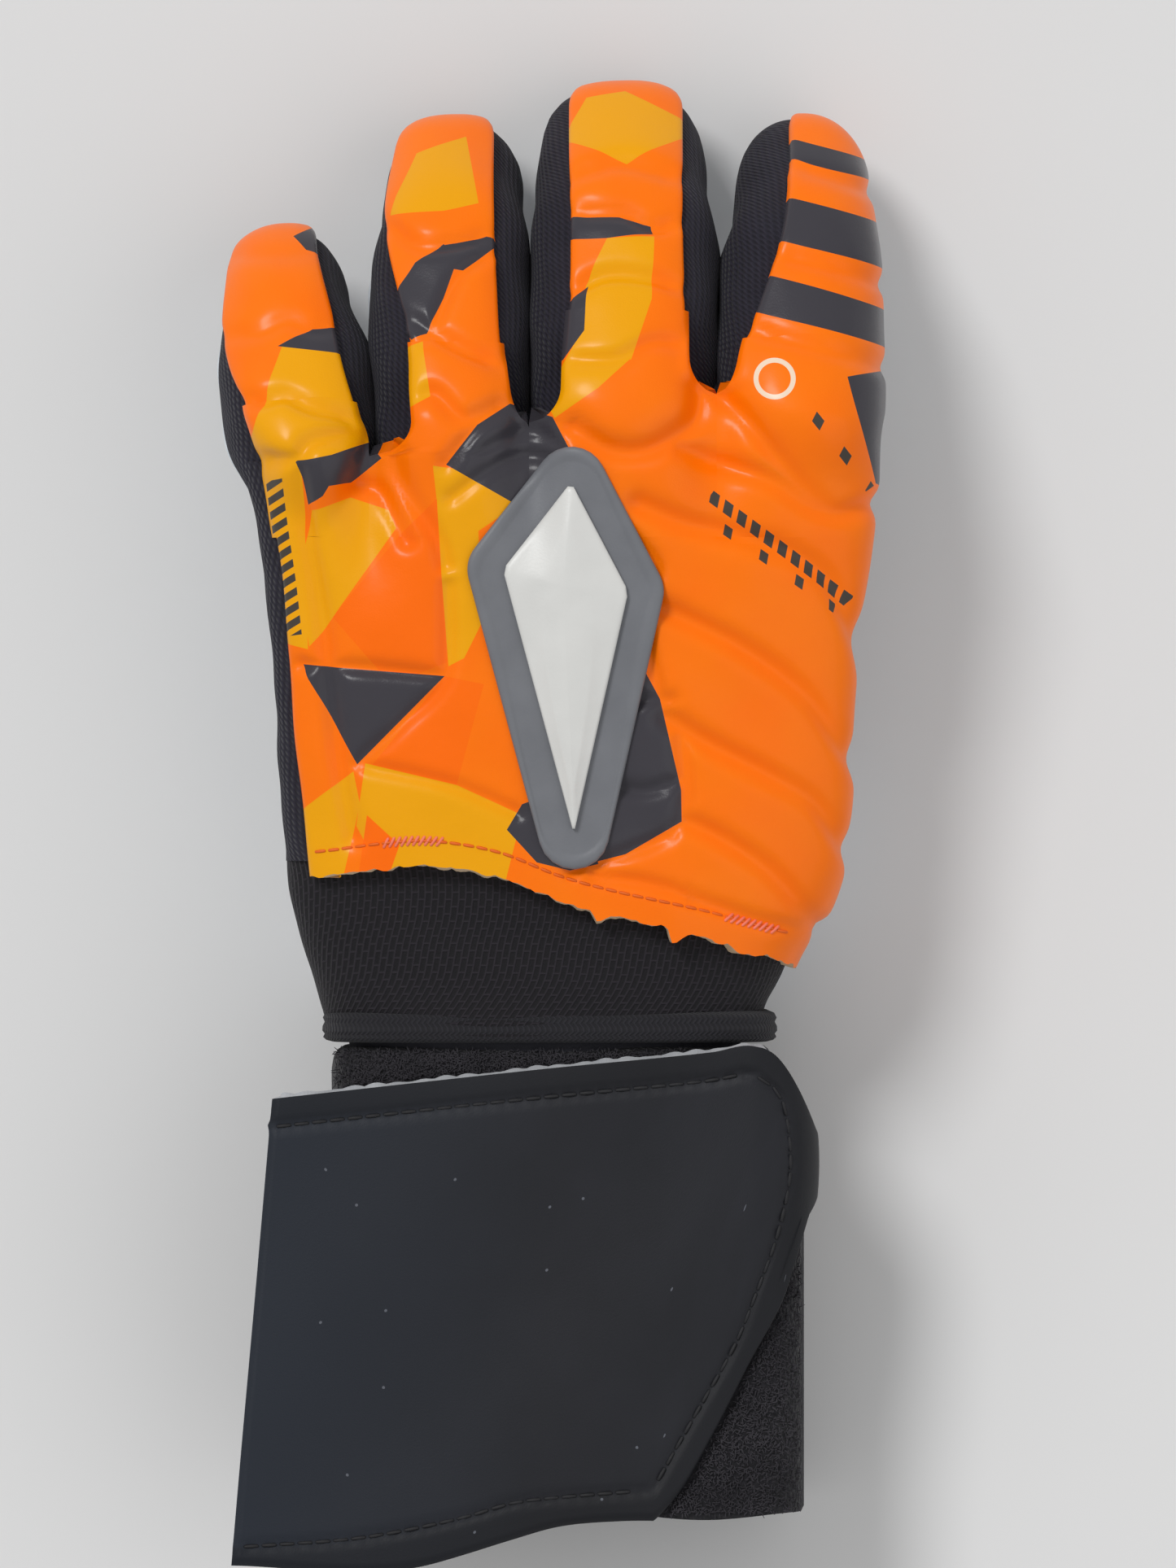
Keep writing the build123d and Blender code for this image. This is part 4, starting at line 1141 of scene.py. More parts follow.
for name, finger in fingers.items():
    split = float(finger.s_at(JOIN[name]))
    lower = np.linspace(-8, split, 34)
    upper = np.concatenate([np.arange(split, finger.end - DOME, 1.0), finger.end - DOME
                            + DOME * np.sin(np.radians([0, 12, 24, 35, 46, 56, 65, 73, 80, 86, 90]))])
    for part, spots in (("lower", lower), ("upper", upper)):
        outer = creased(np.array([finger.row(s, (180, -180), 81, -0.2, sunk=0.42)
                                  for s in spots]), 0.28)
        inner = np.array([finger.row(s - 0.6 * (part == "upper"), (180, -180), 81, -1.3, -1.1,
                                     0.42) for s in spots])
        outer[:, -1] = outer[:, 0]
        sock = ring_tube(f"{name}_sock_{part}", outer, inner, [gusset_mesh])
        bend, segment = BENDS[part]
        bend(sock, name)
        declare(sock, "gusset_mesh", f"{name}_{segment}_gusset")
print("socks", 1 + 2 * len(fingers))

# %% [markdown]
# ## The latex palm
# The palm is one sheet of grip latex, foamed and peeled, so it is pale and slightly
# open-pored. It wraps the underside, and each finger has its own strip of it.

# %% Palm
PALM_END = smooth([(-60, 98), (-45, 99), (-32, 101), (-18, 105), (-4, 107), (13, 109), (31, 107),
                   (46, 106), (62, 104)])
rows_at = np.linspace(5, 110, 90)
columns = 91
stack = []
for y in rows_at:
    x, z = oval(*hand_oval(y, (-0.2, 1.4), 0, -1.2), HAND_POWER, -9, -171, columns)
    stack.append(np.stack([x, np.full(columns, y), z], 1))
stack = np.array(stack)
palm_grid = np.zeros((80, columns, 3))
for c in range(columns):
    far = float(PALM_END(stack[-1, c, 0]))
    ys = np.linspace(5, far, 80)
    palm_grid[:, c, 1] = ys
    for k in (0, 2):
        palm_grid[:, c, k] = np.interp(ys, rows_at, stack[:, c, k])
folds = [(1.6, 0.9, curve([(-44, 62), (-20, 68), (5, 66), (30, 74)])),
         (1.6, 0.9, curve([(-40, 84), (-10, 88), (20, 92), (44, 96)])),
         (1.8, 1.0, curve([(44, 58), (24, 54), (10, 44), (4, 30)]))]
dent = np.zeros(palm_grid.shape[:2])
for width, depth, line in folds:
    away = distance_to(line, palm_grid[..., 0], palm_grid[..., 1])
    dent = np.maximum(dent, depth * np.exp(-((away / width) ** 2)))
plain_palm = palm_grid.copy()
palm_grid = palm_grid - normals_of(palm_grid) * dent[..., None]
palm = make_sheet("palm_latex_sheet", rolled(palm_grid, 1.4), 3.6, [latex],
                  plan=plain_palm[..., :2])
declare(palm, "grip_latex", "palm_latex", body="hand", fill=0.9)

for name, finger in fingers.items():
    split = float(finger.s_at(JOIN[name]))
    lower = np.linspace(-6, split, 36)
    upper = np.concatenate([np.arange(split, finger.end - DOME, 0.9), finger.end - DOME
                            + DOME * np.sin(np.radians(np.linspace(0, 80, 16)))])
    for part, spots in (("lower", lower), ("upper", upper)):
        grid = np.array([finger.row(s, (-6, -174), 45, 0.4, 1.0) for s in spots])
        x, y = grid[..., 0], grid[..., 1]
        grid = grid - normals_of(grid) * (0.25 + 0.25 * np.sin(y / 2.2))[..., None]
        ends = "lr" if part == "lower" else "lre"
        strip = make_sheet(f"{name}_latex_{part}", rolled(grid, 1.3, ends), 3.0, [latex])
        bend, segment = BENDS[part]
        bend(strip, name)
        declare(strip, "grip_latex", f"{name}_{segment}_latex", fill=0.9)
print("latex pieces", 1 + 2 * len(fingers))

# %% [markdown]
# ## Wrist mesh, elastic band and cuff
# Below the hem the glove is air mesh, gathered by a narrow woven elastic with two rows of
# stitching, and then the cuff of padded loop-pile bandage that the strap closes round.

# %% Wrist
levels = np.linspace(-3, 36, 48)
outer = creased(np.array([hand_ring(y, RING, (0.15, 2.4), 4.7, 0.4) for y in levels]), 0.18)
inner = [hand_ring(y, RING, (1.9, 3.8), 6.2, 1.9) for y in levels]
outer[:, -1] = outer[:, 0]
wrist = ring_tube("wrist_air_mesh", outer, inner, [wrist_air_mesh])
declare(wrist, "air_mesh", "wrist_mesh", body="hand")


def cuff_ring(y, grow=0.0, count=RING, left=-40.3, right=44.3, low=2.9, high=46.0):
    """A ring of the cuff's oval, grown outwards by so many millimetres."""
    right = right - 3.0 * float(ease(y, -16, -5)) * (right > 42)
    x, z = oval((left + right) / 2, (low + high) / 2, (right - left) / 2 + grow,
                (high - low) / 2 + grow, (high - low) / 2 + grow, 3.6, 180, -180, count)
    return np.stack([x, np.full(count, float(y)), z], 1)


band_profile = [(1.8, -0.9), (1.2, 0.5), (0.4, 0.9), (-0.4, 0.55), (-1.2, 0.95), (-2.0, 1.0),
                (-2.6, 0.55), (-3.2, 0.85), (-3.7, 0.3), (-4.0, -0.8)]
band_rings = [cuff_ring(y, g, RING, -41.2, 41.2, 3.4, 47.6) for y, g in band_profile]
band_inside = [cuff_ring(y, -1.4, RING, -41.2, 41.2, 3.4, 47.6) for y, _ in band_profile]
band = ring_tube("wrist_elastic", np.array(band_rings)[::-1], np.array(band_inside)[::-1],
                 [elastic])
declare(band, "elastic", "wrist_band", body="hand")

# %% [markdown]
# ## Cuff padding and lining
# The cuff is a closed tube of loop pile round soft padding. On the real one the padding
# presses outwards and the sewn edges hold it in. It could be modelled by hand, but Blender's
# Cloth with a pressure inside gives soft, uneven swelling on its own. The sewn parts are
# pinned, and no point may move further than a set distance. The lining is a thin inner tube.

# %% Padding by cloth simulation
FRAMES = 20      # how long the cloth runs; nothing checks that it has come to rest


def puffed(piece, pressure, cap, pinned=()):
    """Swells a closed padded piece with Blender's Cloth, and keeps the result as its mesh.
    No point moves more than cap millimetres, and the pinned ones stay."""
    rest = np.array([vertex.co for vertex in piece.data.vertices])
    settings = piece.modifiers.new("padding", "CLOTH").settings
    settings.use_pressure = True
    settings.uniform_pressure_force = pressure
    settings.effector_weights.gravity = 0
    settings.quality = 4
    settings.mass = 0.2
    if len(pinned):
        group = piece.vertex_groups.new(name="pinned")
        group.add([int(k) for k in pinned], 1.0, "REPLACE")
        settings.vertex_group_mass = "pinned"
    scene = bpy.context.scene
    for step in range(1, FRAMES + 1):
        scene.frame_set(step)
    swollen = piece.evaluated_get(bpy.context.evaluated_depsgraph_get())
    moved = np.array([vertex.co for vertex in swollen.data.vertices])
    way = moved - rest
    length = np.linalg.norm(way, axis=1, keepdims=True)
    way *= np.minimum(1, cap * MM / np.maximum(length, 1e-9))
    for vertex, spot in zip(piece.data.vertices, rest + way):
        vertex.co = spot
    piece.modifiers.clear()
    piece.vertex_groups.clear()
    scene.frame_set(1)
    furthest = float(np.linalg.norm(way, axis=1).max()) / MM
    print(piece.name, "swelled by up to", round(furthest, 2), "mm")
    return piece


# %% Cuff bandage
levels = np.concatenate([[-89.6, -89.2, -88.0, -86.0], np.linspace(-84, -9, 60), [-7, -5.6, -5.0]])
puff = np.interp(levels, [-89.6, -89.2, -88, -86, -84, -9, -7, -5.6, -5],
                 [-1.4, -0.6, 0.0, 0.1, 0.0, 0.0, -0.2, -0.8, -1.6])
cuff_out = creased(np.array([cuff_ring(y, g) for y, g in zip(levels, puff)]), 0.25)
cuff_out[:, -1] = cuff_out[:, 0]
cuff_in = [cuff_ring(y, -3.0) for y in levels]
cuff = ring_tube("cuff_padded_bandage", cuff_out, cuff_in, [pile])
# the inner wall and both ends are sewn, so only the outside swells
held = [vertex.index for vertex in cuff.data.vertices
        if vertex.index >= cuff_out.shape[0] * (RING - 1)
        or not -87.5 < vertex.co.y / MM - SEAM_Y < -7.5]
puffed(cuff, 3.0, 0.9, held)
declare(cuff, "loop_pile", "cuff_bandage", body="hand", fill=0.6)
print("cuff bandage with", len(cuff.data.polygons), "faces")

# %% Lining
levels = np.linspace(-6, 96, 60)
outer = np.array([hand_ring(y, RING, (3.4, 5.2), 7.6, 3.6) for y in levels])
inner = np.array([hand_ring(y, RING, (4.2, 6.0), 8.4, 4.4) for y in levels])
lining = ring_tube("hand_lining", outer, inner, [lining_cloth])
declare(lining, "lining_cloth", "backhand_lining", "palm_lining", body="hand")
print("wrist pieces done")

# %% [markdown]
# ## Finding the surface under a point
# Stitches, the badge and the webs sit on a surface that is already made. A ray cast down
# from above finds its height there, so nothing has to be placed by eye.

# %% Surface finder
def surface(*pieces):
    """A function that gives the highest point of some pieces, in millimetres, and its normal."""
    trees = []
    for piece in pieces:
        points = [vertex.co.copy() for vertex in piece.data.vertices]
        trees.append(BVHTree.FromPolygons(points, [tuple(p.vertices) for p in piece.data.polygons]))

    def height(x, y, fallback=40.0):
        best, way = None, Vector((0, 0, 1))
        for tree in trees:
            hit = tree.ray_cast(Vector(tuple(to_metres([x, y, 0]))) + Vector((0, 0, 0.2)),
                                Vector((0, 0, -1)))
            if hit[0] is not None and (best is None or hit[0].z / MM > best):
                best, way = hit[0].z / MM, hit[1]
        return (fallback if best is None else best), way
    return height


def new_piece(name, points, faces, materials):
    """A piece from points in millimetres, mapped in plan like the sheets."""
    return mesh_piece(name, to_metres(points), faces, np.asarray(points, float)[:, :2] / 100,
                      materials)


def capsules(name, ends, radius, material, sides=6):
    """Stitches: short rounded rods between pairs of points."""
    points, faces = [], []
    for a, b in ends:
        a, b = np.asarray(a, float), np.asarray(b, float)
        axis = (b - a) / max(np.linalg.norm(b - a), 1e-6)
        one = np.cross(axis, [0, 0, 1])
        one = one / max(np.linalg.norm(one), 1e-6)
        two = np.cross(axis, one)
        rings = [(a - axis * radius * 0.6, 0.35), (a, 0.85), ((a + b) / 2, 1.0), (b, 0.85),
                 (b + axis * radius * 0.6, 0.35)]
        base = len(points)
        for spot, share in rings:
            for k in range(sides):
                turn = 2 * math.pi * k / sides
                points.append(spot + radius * share * (one * math.cos(turn) + two * math.sin(turn)))
        for r in range(len(rings) - 1):
            for k in range(sides):
                n = (k + 1) % sides
                faces.append([base + r * sides + k, base + r * sides + n,
                              base + (r + 1) * sides + n, base + (r + 1) * sides + k])
        faces.append([base + k for k in range(sides)][::-1])
        faces.append([base + (len(rings) - 1) * sides + k for k in range(sides)])
    return new_piece(name, points, faces, [material])


def evenly(line, gap):
    """Points along a plan curve, every gap millimetres."""
    line = np.asarray(line, float)
    run = np.insert(np.cumsum(np.linalg.norm(np.diff(line, axis=0), axis=1)), 0, 0)
    at = np.arange(0, run[-1], gap)
    return np.stack([np.interp(at, run, line[:, k]) for k in (0, 1)], 1)


def stitch_row(name, line, height, material, length=2.1, gap=3.0, radius=0.32, zigzag=0.0):
    """A row of stitches along a plan curve, lying on a surface."""
    ends = []
    spots = evenly(line, gap)
    for k, (here, there) in enumerate(zip(spots[:-1], spots[1:])):
        way = (there - here) / np.linalg.norm(there - here)
        side = np.array([-way[1], way[0]]) * zigzag
        a = here - side
        b = here + way * length + side
        ends.append([(*p, height(*p)[0] + radius * 0.25) for p in (a, b)])
    return capsules(name, ends, radius, material)

# %% [markdown]
# ## Hem stitches
# The hem is sewn down with an orange row that keeps about 5 mm inside the cut edge, and a
# short zig-zag in pinkish thread locks the row near both ends.

# %% Hem stitches
on_foam = surface(backhand)
hem_xs = np.linspace(-43, 45, 60)
hem_row = [(x, float(hem_line(x)) + 4.6) for x in hem_xs]
stitches = stitch_row("hem_stitches", hem_row, on_foam, orange_thread, 1.7, 2.5, 0.3)
declare(stitches, "backhand_foam", body="hand")
for label, low, high in (("left", -30.5, -19.5), ("right", 32.5, 42.5)):
    part = [(x, float(hem_line(x)) + 4.6) for x in np.linspace(low, high, 12)]
    lock = stitch_row(f"hem_lock_{label}", part, on_foam, pink_thread, 1.0, 1.1, 0.3, 0.75)
    declare(lock, "backhand_foam", body="hand")

# %% [markdown]
# ## The badge
# A rubber plate is welded to the foam, and a white facet stands on it. The real one
# carries the maker's sign: here it is a plain long kite, with its faces cut like a shard.
# Each is a pad whose rim is a few bevel rings, laid on the surface under it.

# %% Badge
KITE = [(4, 99), (14.5, 79), (4.5, 34.5), (-8.5, 83)]


def anticlockwise(outline):
    """The outline, turned round if it runs clockwise."""
    outline = np.asarray(outline, float)
    area = sum(p[0] * q[1] - q[0] * p[1] for p, q in zip(outline, np.roll(outline, -1, 0)))
    return outline[::-1] if area < 0 else outline


def grown(corners, distance, round_steps):
    """An outline of a convex polygon, grown outwards with rounded corners."""
    out = []
    n = len(corners)
    turn = 1 if sum(corners[k][0] * corners[(k + 1) % n][1] - corners[(k + 1) % n][0] * corners[k][1]
                    for k in range(n)) > 0 else -1
    for k in range(n):
        before, here, after = (np.array(corners[(k + d) % n], float) for d in (-1, 0, 1))
        one, two = here - before, after - here
        first = math.atan2(*(turn * np.array([-one[0], one[1]]))[[0, 1]])
        last = math.atan2(*(turn * np.array([-two[0], two[1]]))[[0, 1]])
        while last - first > math.pi:
            last -= 2 * math.pi
        while last - first < -math.pi:
            last += 2 * math.pi
        for angle in np.linspace(first, last, round_steps):
            out.append(here + distance * np.array([math.cos(angle), math.sin(angle)]))
    return np.array(out)


def dense(outline, step):
    """An outline with points every step or so along its runs."""
    out = []
    for here, there in zip(outline, np.roll(outline, -1, axis=0)):
        count = max(1, int(np.linalg.norm(there - here) / step))
        out += [here + (there - here) * k / count for k in range(count)]
    return np.array(out)


def pad(name, outline, middle, base, profile, material, body):
    """A closed pad. profile lists (inset, rise) from its foot to its middle, in mm."""
    outline = np.asarray(outline, float)
    reach = np.linalg.norm(outline - middle, axis=1)
    points, faces = [], []
    n = len(outline)
    for inset, rise in profile:
        share = np.clip(1 - inset / reach, 0.02, 1.2)[:, None] if inset >= 0 else \
            (1 - inset / reach)[:, None]
        ring = middle + (outline - middle) * share
        points += [(x, y, base(x, y) + rise) for x, y in ring]
    for r in range(len(profile) - 1):
        for k in range(n):
            m = (k + 1) % n
            faces.append([r * n + k, r * n + m, (r + 1) * n + m, (r + 1) * n + k])
    last = (len(profile) - 1) * n
    points.append((*middle, base(*middle) + profile[-1][1]))
    faces += [[last + k, last + (k + 1) % n, len(points) - 1] for k in range(n)]
    points.append((*middle, base(*middle) + profile[0][1]))
    faces += [[(k + 1) % n, k, len(points) - 1] for k in range(n)]
    piece = new_piece(name, points, faces, [material])
    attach(piece, body)
    return piece


def smooth_top(x, y):
    """The backhand's height without its grooves, for what is welded on it."""
    start, end = hand_edges(min(y, 104))
    row = hand_row(min(y, 104), start, end, 90)
    return float(np.interp(x, row[:, 0], row[:, 2])) + (y - min(y, 104)) * BACK_RISE


plate_outline = dense(anticlockwise(grown(KITE, 6.5, 9)), 2.0)
plate = pad("badge_plate_rubber", plate_outline, np.array([3.5, 74.0]), smooth_top,
            [(0, -1.5), (0, 0.6), (0.3, 0.95), (0.9, 1.15), (1.8, 1.15), (2.4, 0.85), (3.0, 0.8),
             (4.5, 0.8), (6, 0.8), (9, 0.8), (14, 0.8), (22, 0.8)], plate_rubber, "hand")
declare(plate, "badge_rubber", "badge_plate")

kite = anticlockwise(np.array(KITE, float)[::-1])
corner_cut = []
for k in range(4):
    before, here, after = kite[k - 1], kite[k], kite[(k + 1) % 4]
    corner_cut.append(here + (before - here) / np.linalg.norm(before - here) * 1.0)
    corner_cut.append(here + (after - here) / np.linalg.norm(after - here) * 1.0)
face = pad("badge_face_rubber", dense(np.array(corner_cut), 2.0), np.array([2.6, 80.0]), smooth_top,
           [(0, 0.3), (0, 1.75), (0.25, 2.0), (0.7, 2.2), (1.2, 2.28), (2.5, 2.5), (4, 2.75),
            (6, 3.1), (8, 3.4)], badge_rubber, "hand")
declare(face, "badge_white", "badge_face")
print("badge done")

# %% [markdown]
# ## Webs
# Between two fingers the mesh is one small saddle, sewn where the foam's cut ends. It
# stays with the hand, deep in the fold, and closes it from behind.

# %% Webs
for (first_name, second_name), border_x, web in zip(zip(FINGERS, FINGERS[1:]), shared, web_bottom):
    outline = [(border_x + 3.6 * math.cos(a), web - 1 + (9 if math.sin(a) > 0 else 11) * math.sin(a))
               for a in np.radians(np.arange(0, 360, 12))]

    def saddle(x, y, border_x=border_x, web=web):
        fall = 12 * float(ease(y, web - 5, web + 9))
        return float(back_top(web)) - 13 - fall - 0.25 * abs(x - border_x)

    piece = pad(f"web_{first_name}_{second_name}_mesh", outline, np.array([border_x, web - 1]),
                saddle, [(0, -16), (0, -1.2), (0.5, -0.3), (1.2, 0), (2.4, 0.1)], gusset_mesh, "hand")
    declare(piece, "gusset_mesh", f"web_{first_name}_{second_name}", fill=0.4)

# %% [markdown]
# ## The strap
# An elastic runs round the underside and up the right side, and a foam-backed film is sewn
# on it as the flap that closes to the left. Both follow one line round the cuff. The flap
# opens at the right side.

# %% Strap
STRAP_SIDE, STRAP_TOP, STRAP_FOOT = 48.0, 50.2, 0.2
STRAP_BEND = 11.0


def round_cuff(p, out=0.0):
    """A place on the line round the cuff: p runs from the underside's left end, round the
    right side, and to the left over the top. Returns x, z and the way outwards."""
    right, top, foot, bend = STRAP_SIDE, STRAP_TOP - 1.2, STRAP_FOOT + 1.2, STRAP_BEND
    under = right - bend + 40
    quarter = math.pi / 2 * bend
    side = top - foot - 2 * bend
    x = np.zeros(np.shape(p))
    z, nx, nz = x.copy(), x.copy(), x.copy()
    p = np.asarray(p, float)
    a = p < under
    x[a], z[a], nz[a] = -40 + p[a], foot, -1
    b = (p >= under) & (p < under + quarter)
    t = (p[b] - under) / bend
    x[b], z[b] = right - bend + bend * np.sin(t), foot + bend - bend * np.cos(t)
    nx[b], nz[b] = np.sin(t), -np.cos(t)
    c = (p >= under + quarter) & (p < under + quarter + side)
    x[c], z[c], nx[c] = right, foot + bend + p[c] - under - quarter, 1
    d = (p >= under + quarter + side) & (p < under + 2 * quarter + side)
    t = (p[d] - under - quarter - side) / bend
    x[d], z[d] = right - bend + bend * np.cos(t), top - bend + bend * np.sin(t)
    nx[d], nz[d] = np.cos(t), np.sin(t)
    e = p >= under + 2 * quarter + side
    x[e], z[e], nz[e] = right - bend - (p[e] - under - 2 * quarter - side), top, 1
    return x + nx * out, z + nz * out, under + 2 * quarter + side


TOP_START = float(round_cuff(np.zeros(1))[2])      # where the line reaches the flat top
strap_upper = smooth([(-60, -15.2), (-51, -14.2), (0, -8.6), (30, -5.6), (38, -4.6), (42, -6.5),
                      (46, -14.5), (48, -18)])
strap_lower = smooth([(-60, -100.2), (-22, -100), (-16, -98.3), (-7, -95.5), (1, -93.2),
                      (13, -92), (28, -92), (40, -91.5), (48, -90)])
film_slant = smooth([(19.5, -91.8), (24.5, -86), (30, -76.5), (36.5, -64), (42.8, -51), (46.4, -41)])
film_edge = smooth([(-91.8, 19.5), (-86, 24.5), (-76.5, 30), (-64, 36.5), (-51, 42.8), (-41, 46.4)])


def strap_grid(p_ends, lower, upper, rows, columns, out, swell=0.0):
    """A grid on the line round the cuff. p_ends gives the two ends for a place along it."""
    grid = np.zeros((rows, columns, 3))
    share = np.linspace(0, 1, columns)
    for r in range(rows):
        v = r / (rows - 1)
        y = np.full(columns, -50.0)
        for _ in range(4):
            ends = np.array([p_ends(value) for value in y])
            p = ends[:, 0] + (ends[:, 1] - ends[:, 0]) * share
            x, _, _ = round_cuff(p)
            y = lower(x, p) * (1 - v) + upper(x, p) * v
        lift = out + swell * math.sin(math.pi * v) ** 0.5
        x, z, _ = round_cuff(p, lift)
        grid[r, :, 0], grid[r, :, 1], grid[r, :, 2] = x, y, z
    return grid


def film_ends(y):
    left_x = -51.0 - 7.5 * (-14.0 - y) / 86
    return TOP_START - 15.5, TOP_START + (STRAP_SIDE - STRAP_BEND) - left_x


def film_lower(x, p):
    rising = 0.9 * np.clip(TOP_START - 6 - p, 0, 30) * (x > 40)
    return np.where(x < 19.5, strap_lower(x), np.maximum(strap_lower(x), film_slant(x) + rising))


def film_upper(x, p):
    return strap_upper(np.minimum(x, 40)) - 16.0 * ease(TOP_START - 2 - p, 0, 14)


film_grid = strap_grid(film_ends, film_lower, film_upper, 90, 130, 1.3, 0.35)
# columns run from the right side to the left, so the grid is turned to face outwards
film_grid = film_grid[:, ::-1]
x, y = film_grid[..., 0], film_grid[..., 1]
wave = 0.35 * np.sin(x / 13.0 + 0.6) * np.sin(y / 17.0) + 0.2 * np.sin((x - y) / 9.0)
# the seams sink into the foam, and pucker a little at each stitch
SEAM_WIDTH, SEAM_DEPTH, STITCH_STEP = 0.85, 0.8, 3.3
foot_row = curve([(-56, -96.6), (-35, -95), (-17, -91.5), (-7, -88.6), (3, -87.4), (18, -86.2)], 50)
side_row = curve([(38.5, -10.3), (42.0, -13), (43.7, -18), (44.3, -28), (42, -39), (38.4, -49),
                  (34, -59.7), (27, -72), (19, -86)], 60)
top_row = np.array([(px, float(film_upper(np.array(px), 1e3)) - 5.2) for px in np.linspace(-50, 38, 50)])
away = np.minimum(np.minimum(distance_to(foot_row, x, y), distance_to(side_row, x, y)),
                  distance_to(top_row, x, y))
pucker = 0.75 + 0.25 * np.cos((x + y) * 2 * math.pi / STITCH_STEP)
seam_groove = SEAM_DEPTH * pucker * np.exp(-((away / SEAM_WIDTH) ** 2))
film_grid = film_grid + normals_of(film_grid) * (wave - seam_groove)[..., None]
film_grid = rolled(film_grid, 0.9, "lrs")
film_under = film_grid - normals_of(film_grid) * 2.3
film_under[-1, :, 1] += [0.45 + 0.55 * abs(math.sin(0.6 * c) * math.sin(0.17 * c + 1))
                         for c in range(film_grid.shape[1])]
film_piece = make_sheet("strap_film_panel", film_grid, film_under, [film, pale_edge],
                        rim_slots=[("e", 1)])
# painted shade darkens the strip outside the seams: 1 there and 0 inside
past_seam = np.maximum(y - np.interp(x, *top_row.T), np.interp(x, *foot_row.T) - y)
past_seam = np.maximum(past_seam, x - np.interp(y, *side_row[::-1, ::-1].T))
painted_border_shade = ease(past_seam, -0.2, 0.9).ravel()
layer = film_piece.data.attributes.new("border", "FLOAT", "POINT")
layer.data.foreach_set("value", np.concatenate([painted_border_shade, painted_border_shade]))
hinge = to_metres([46.2, -45, 46.3])
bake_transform(film_piece)
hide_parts("strap_panel", "strap_edge_tape")


SPLIT = TOP_START - 17.0


def elastic_lower(x, p):
    return -91.2 + 0.6 * np.sin(x / 6.0)


def elastic_upper(x, p):
    return strap_upper(np.minimum(x, 38)) - 1.6 - 13.5 * ease(TOP_START + 2 - p, 0, 17) \
        + 5.0 * ease(TOP_START - 40 - p, 0, 30)


for label, ends, count in (("band", (2.0, SPLIT), 120),
                           ("top", (SPLIT, TOP_START + STRAP_SIDE - STRAP_BEND + 8.0), 80)):
    grid = strap_grid(lambda y, ends=ends: ends, elastic_lower, elastic_upper, 70, count, -1.0)
    grid = grid[:, ::-1]
    x, y, z = grid[..., 0], grid[..., 1], grid[..., 2]
    wave = 0.25 * np.sin((x - z) / 7.0 + y / 11.0) + 0.2 * np.sin(y / 5.0 - (x - z) / 9.0)
    grid = grid + np.stack([0 * x, 0 * x, wave], 2) * (label == "top") * ease(x, 40, 30)[..., None]
    piece = make_sheet(f"strap_elastic_{label}", rolled(grid, 0.5, "se"), 1.4,
                       [elastic if label == "band" else pile, elastic])
    if label == "band":
        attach(piece, "hand")
        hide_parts("strap_band")
    else:
        # a smooth binding is sewn down the elastic's right edge
        for face in piece.data.polygons:
            face.material_index = int(face.center.x > 46.6 * MM and face.center.z > 0.03)
        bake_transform(piece)
        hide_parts("strap_elastic")

hook_points = strap_grid(lambda y: (TOP_START + STRAP_SIDE - STRAP_BEND + 8.5,
                                    TOP_START + STRAP_SIDE - STRAP_BEND + 39.0),
                         lambda x, p: -86.0 + 0 * x, lambda x, p: -17.0 + 0 * x, 60, 40, -1.1)[:, ::-1]
hook_piece = make_sheet("strap_hook_patch_tape", rolled(hook_points, 0.5), 1.4, [hook_tape])
declare(hook_piece, "hook_tape", "strap_hook_patch", body="strap_flap")

on_film = surface(film_piece)
for label, line in (("top", top_row), ("slant", side_row), ("foot", foot_row)):
    row = stitch_row(f"strap_stitches_{label}", line, on_film, dark_thread, 2.3, STITCH_STEP,
                     0.36)
    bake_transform(row)
print("strap done")

# %% [markdown]
# ## Fuzz on the loop pile
# Loop pile isn't a smooth cloth: broken loops stand up from it and catch the light. A
# particle system would make hairs, but a few thousand small bent ribbons are plain mesh,
# so they ride with the cloth. Each has a place found by a ray.

# %% Fuzz
FIBRE_WIDTH, FIBRE_RISE = 0.17, 0.75


def fuzz(name, spots, height, material):
    """Small bent fibres standing on a surface."""
    points, faces = [], []
    for x, y in spots:
        z, _ = height(x, y)
        turn = stray.uniform(0, 2 * math.pi)
        way = np.array([math.cos(turn), math.sin(turn), 0])
        side = np.array([-way[1], way[0], 0]) * FIBRE_WIDTH / 2
        rise = FIBRE_RISE * stray.uniform(0.5, 1.2)
        reach = stray.uniform(0.5, 1.3)
        foot = np.array([x, y, z - 0.15])
        line = [foot, foot + way * reach * 0.3 + [0, 0, rise * 0.8],
                foot + way * reach * 0.75 + [0, 0, rise], foot + way * reach + [0, 0, rise * 0.55]]
        base = len(points)
        for k, spot in enumerate(line):
            thin = side * (1.0, 1.0, 0.8, 0.4)[k]
            points += [spot - thin, spot + thin]
        faces += [[base + 2 * k, base + 2 * k + 1, base + 2 * k + 3, base + 2 * k + 2]
                  for k in range(3)]
    return new_piece(name, points, faces, [material])


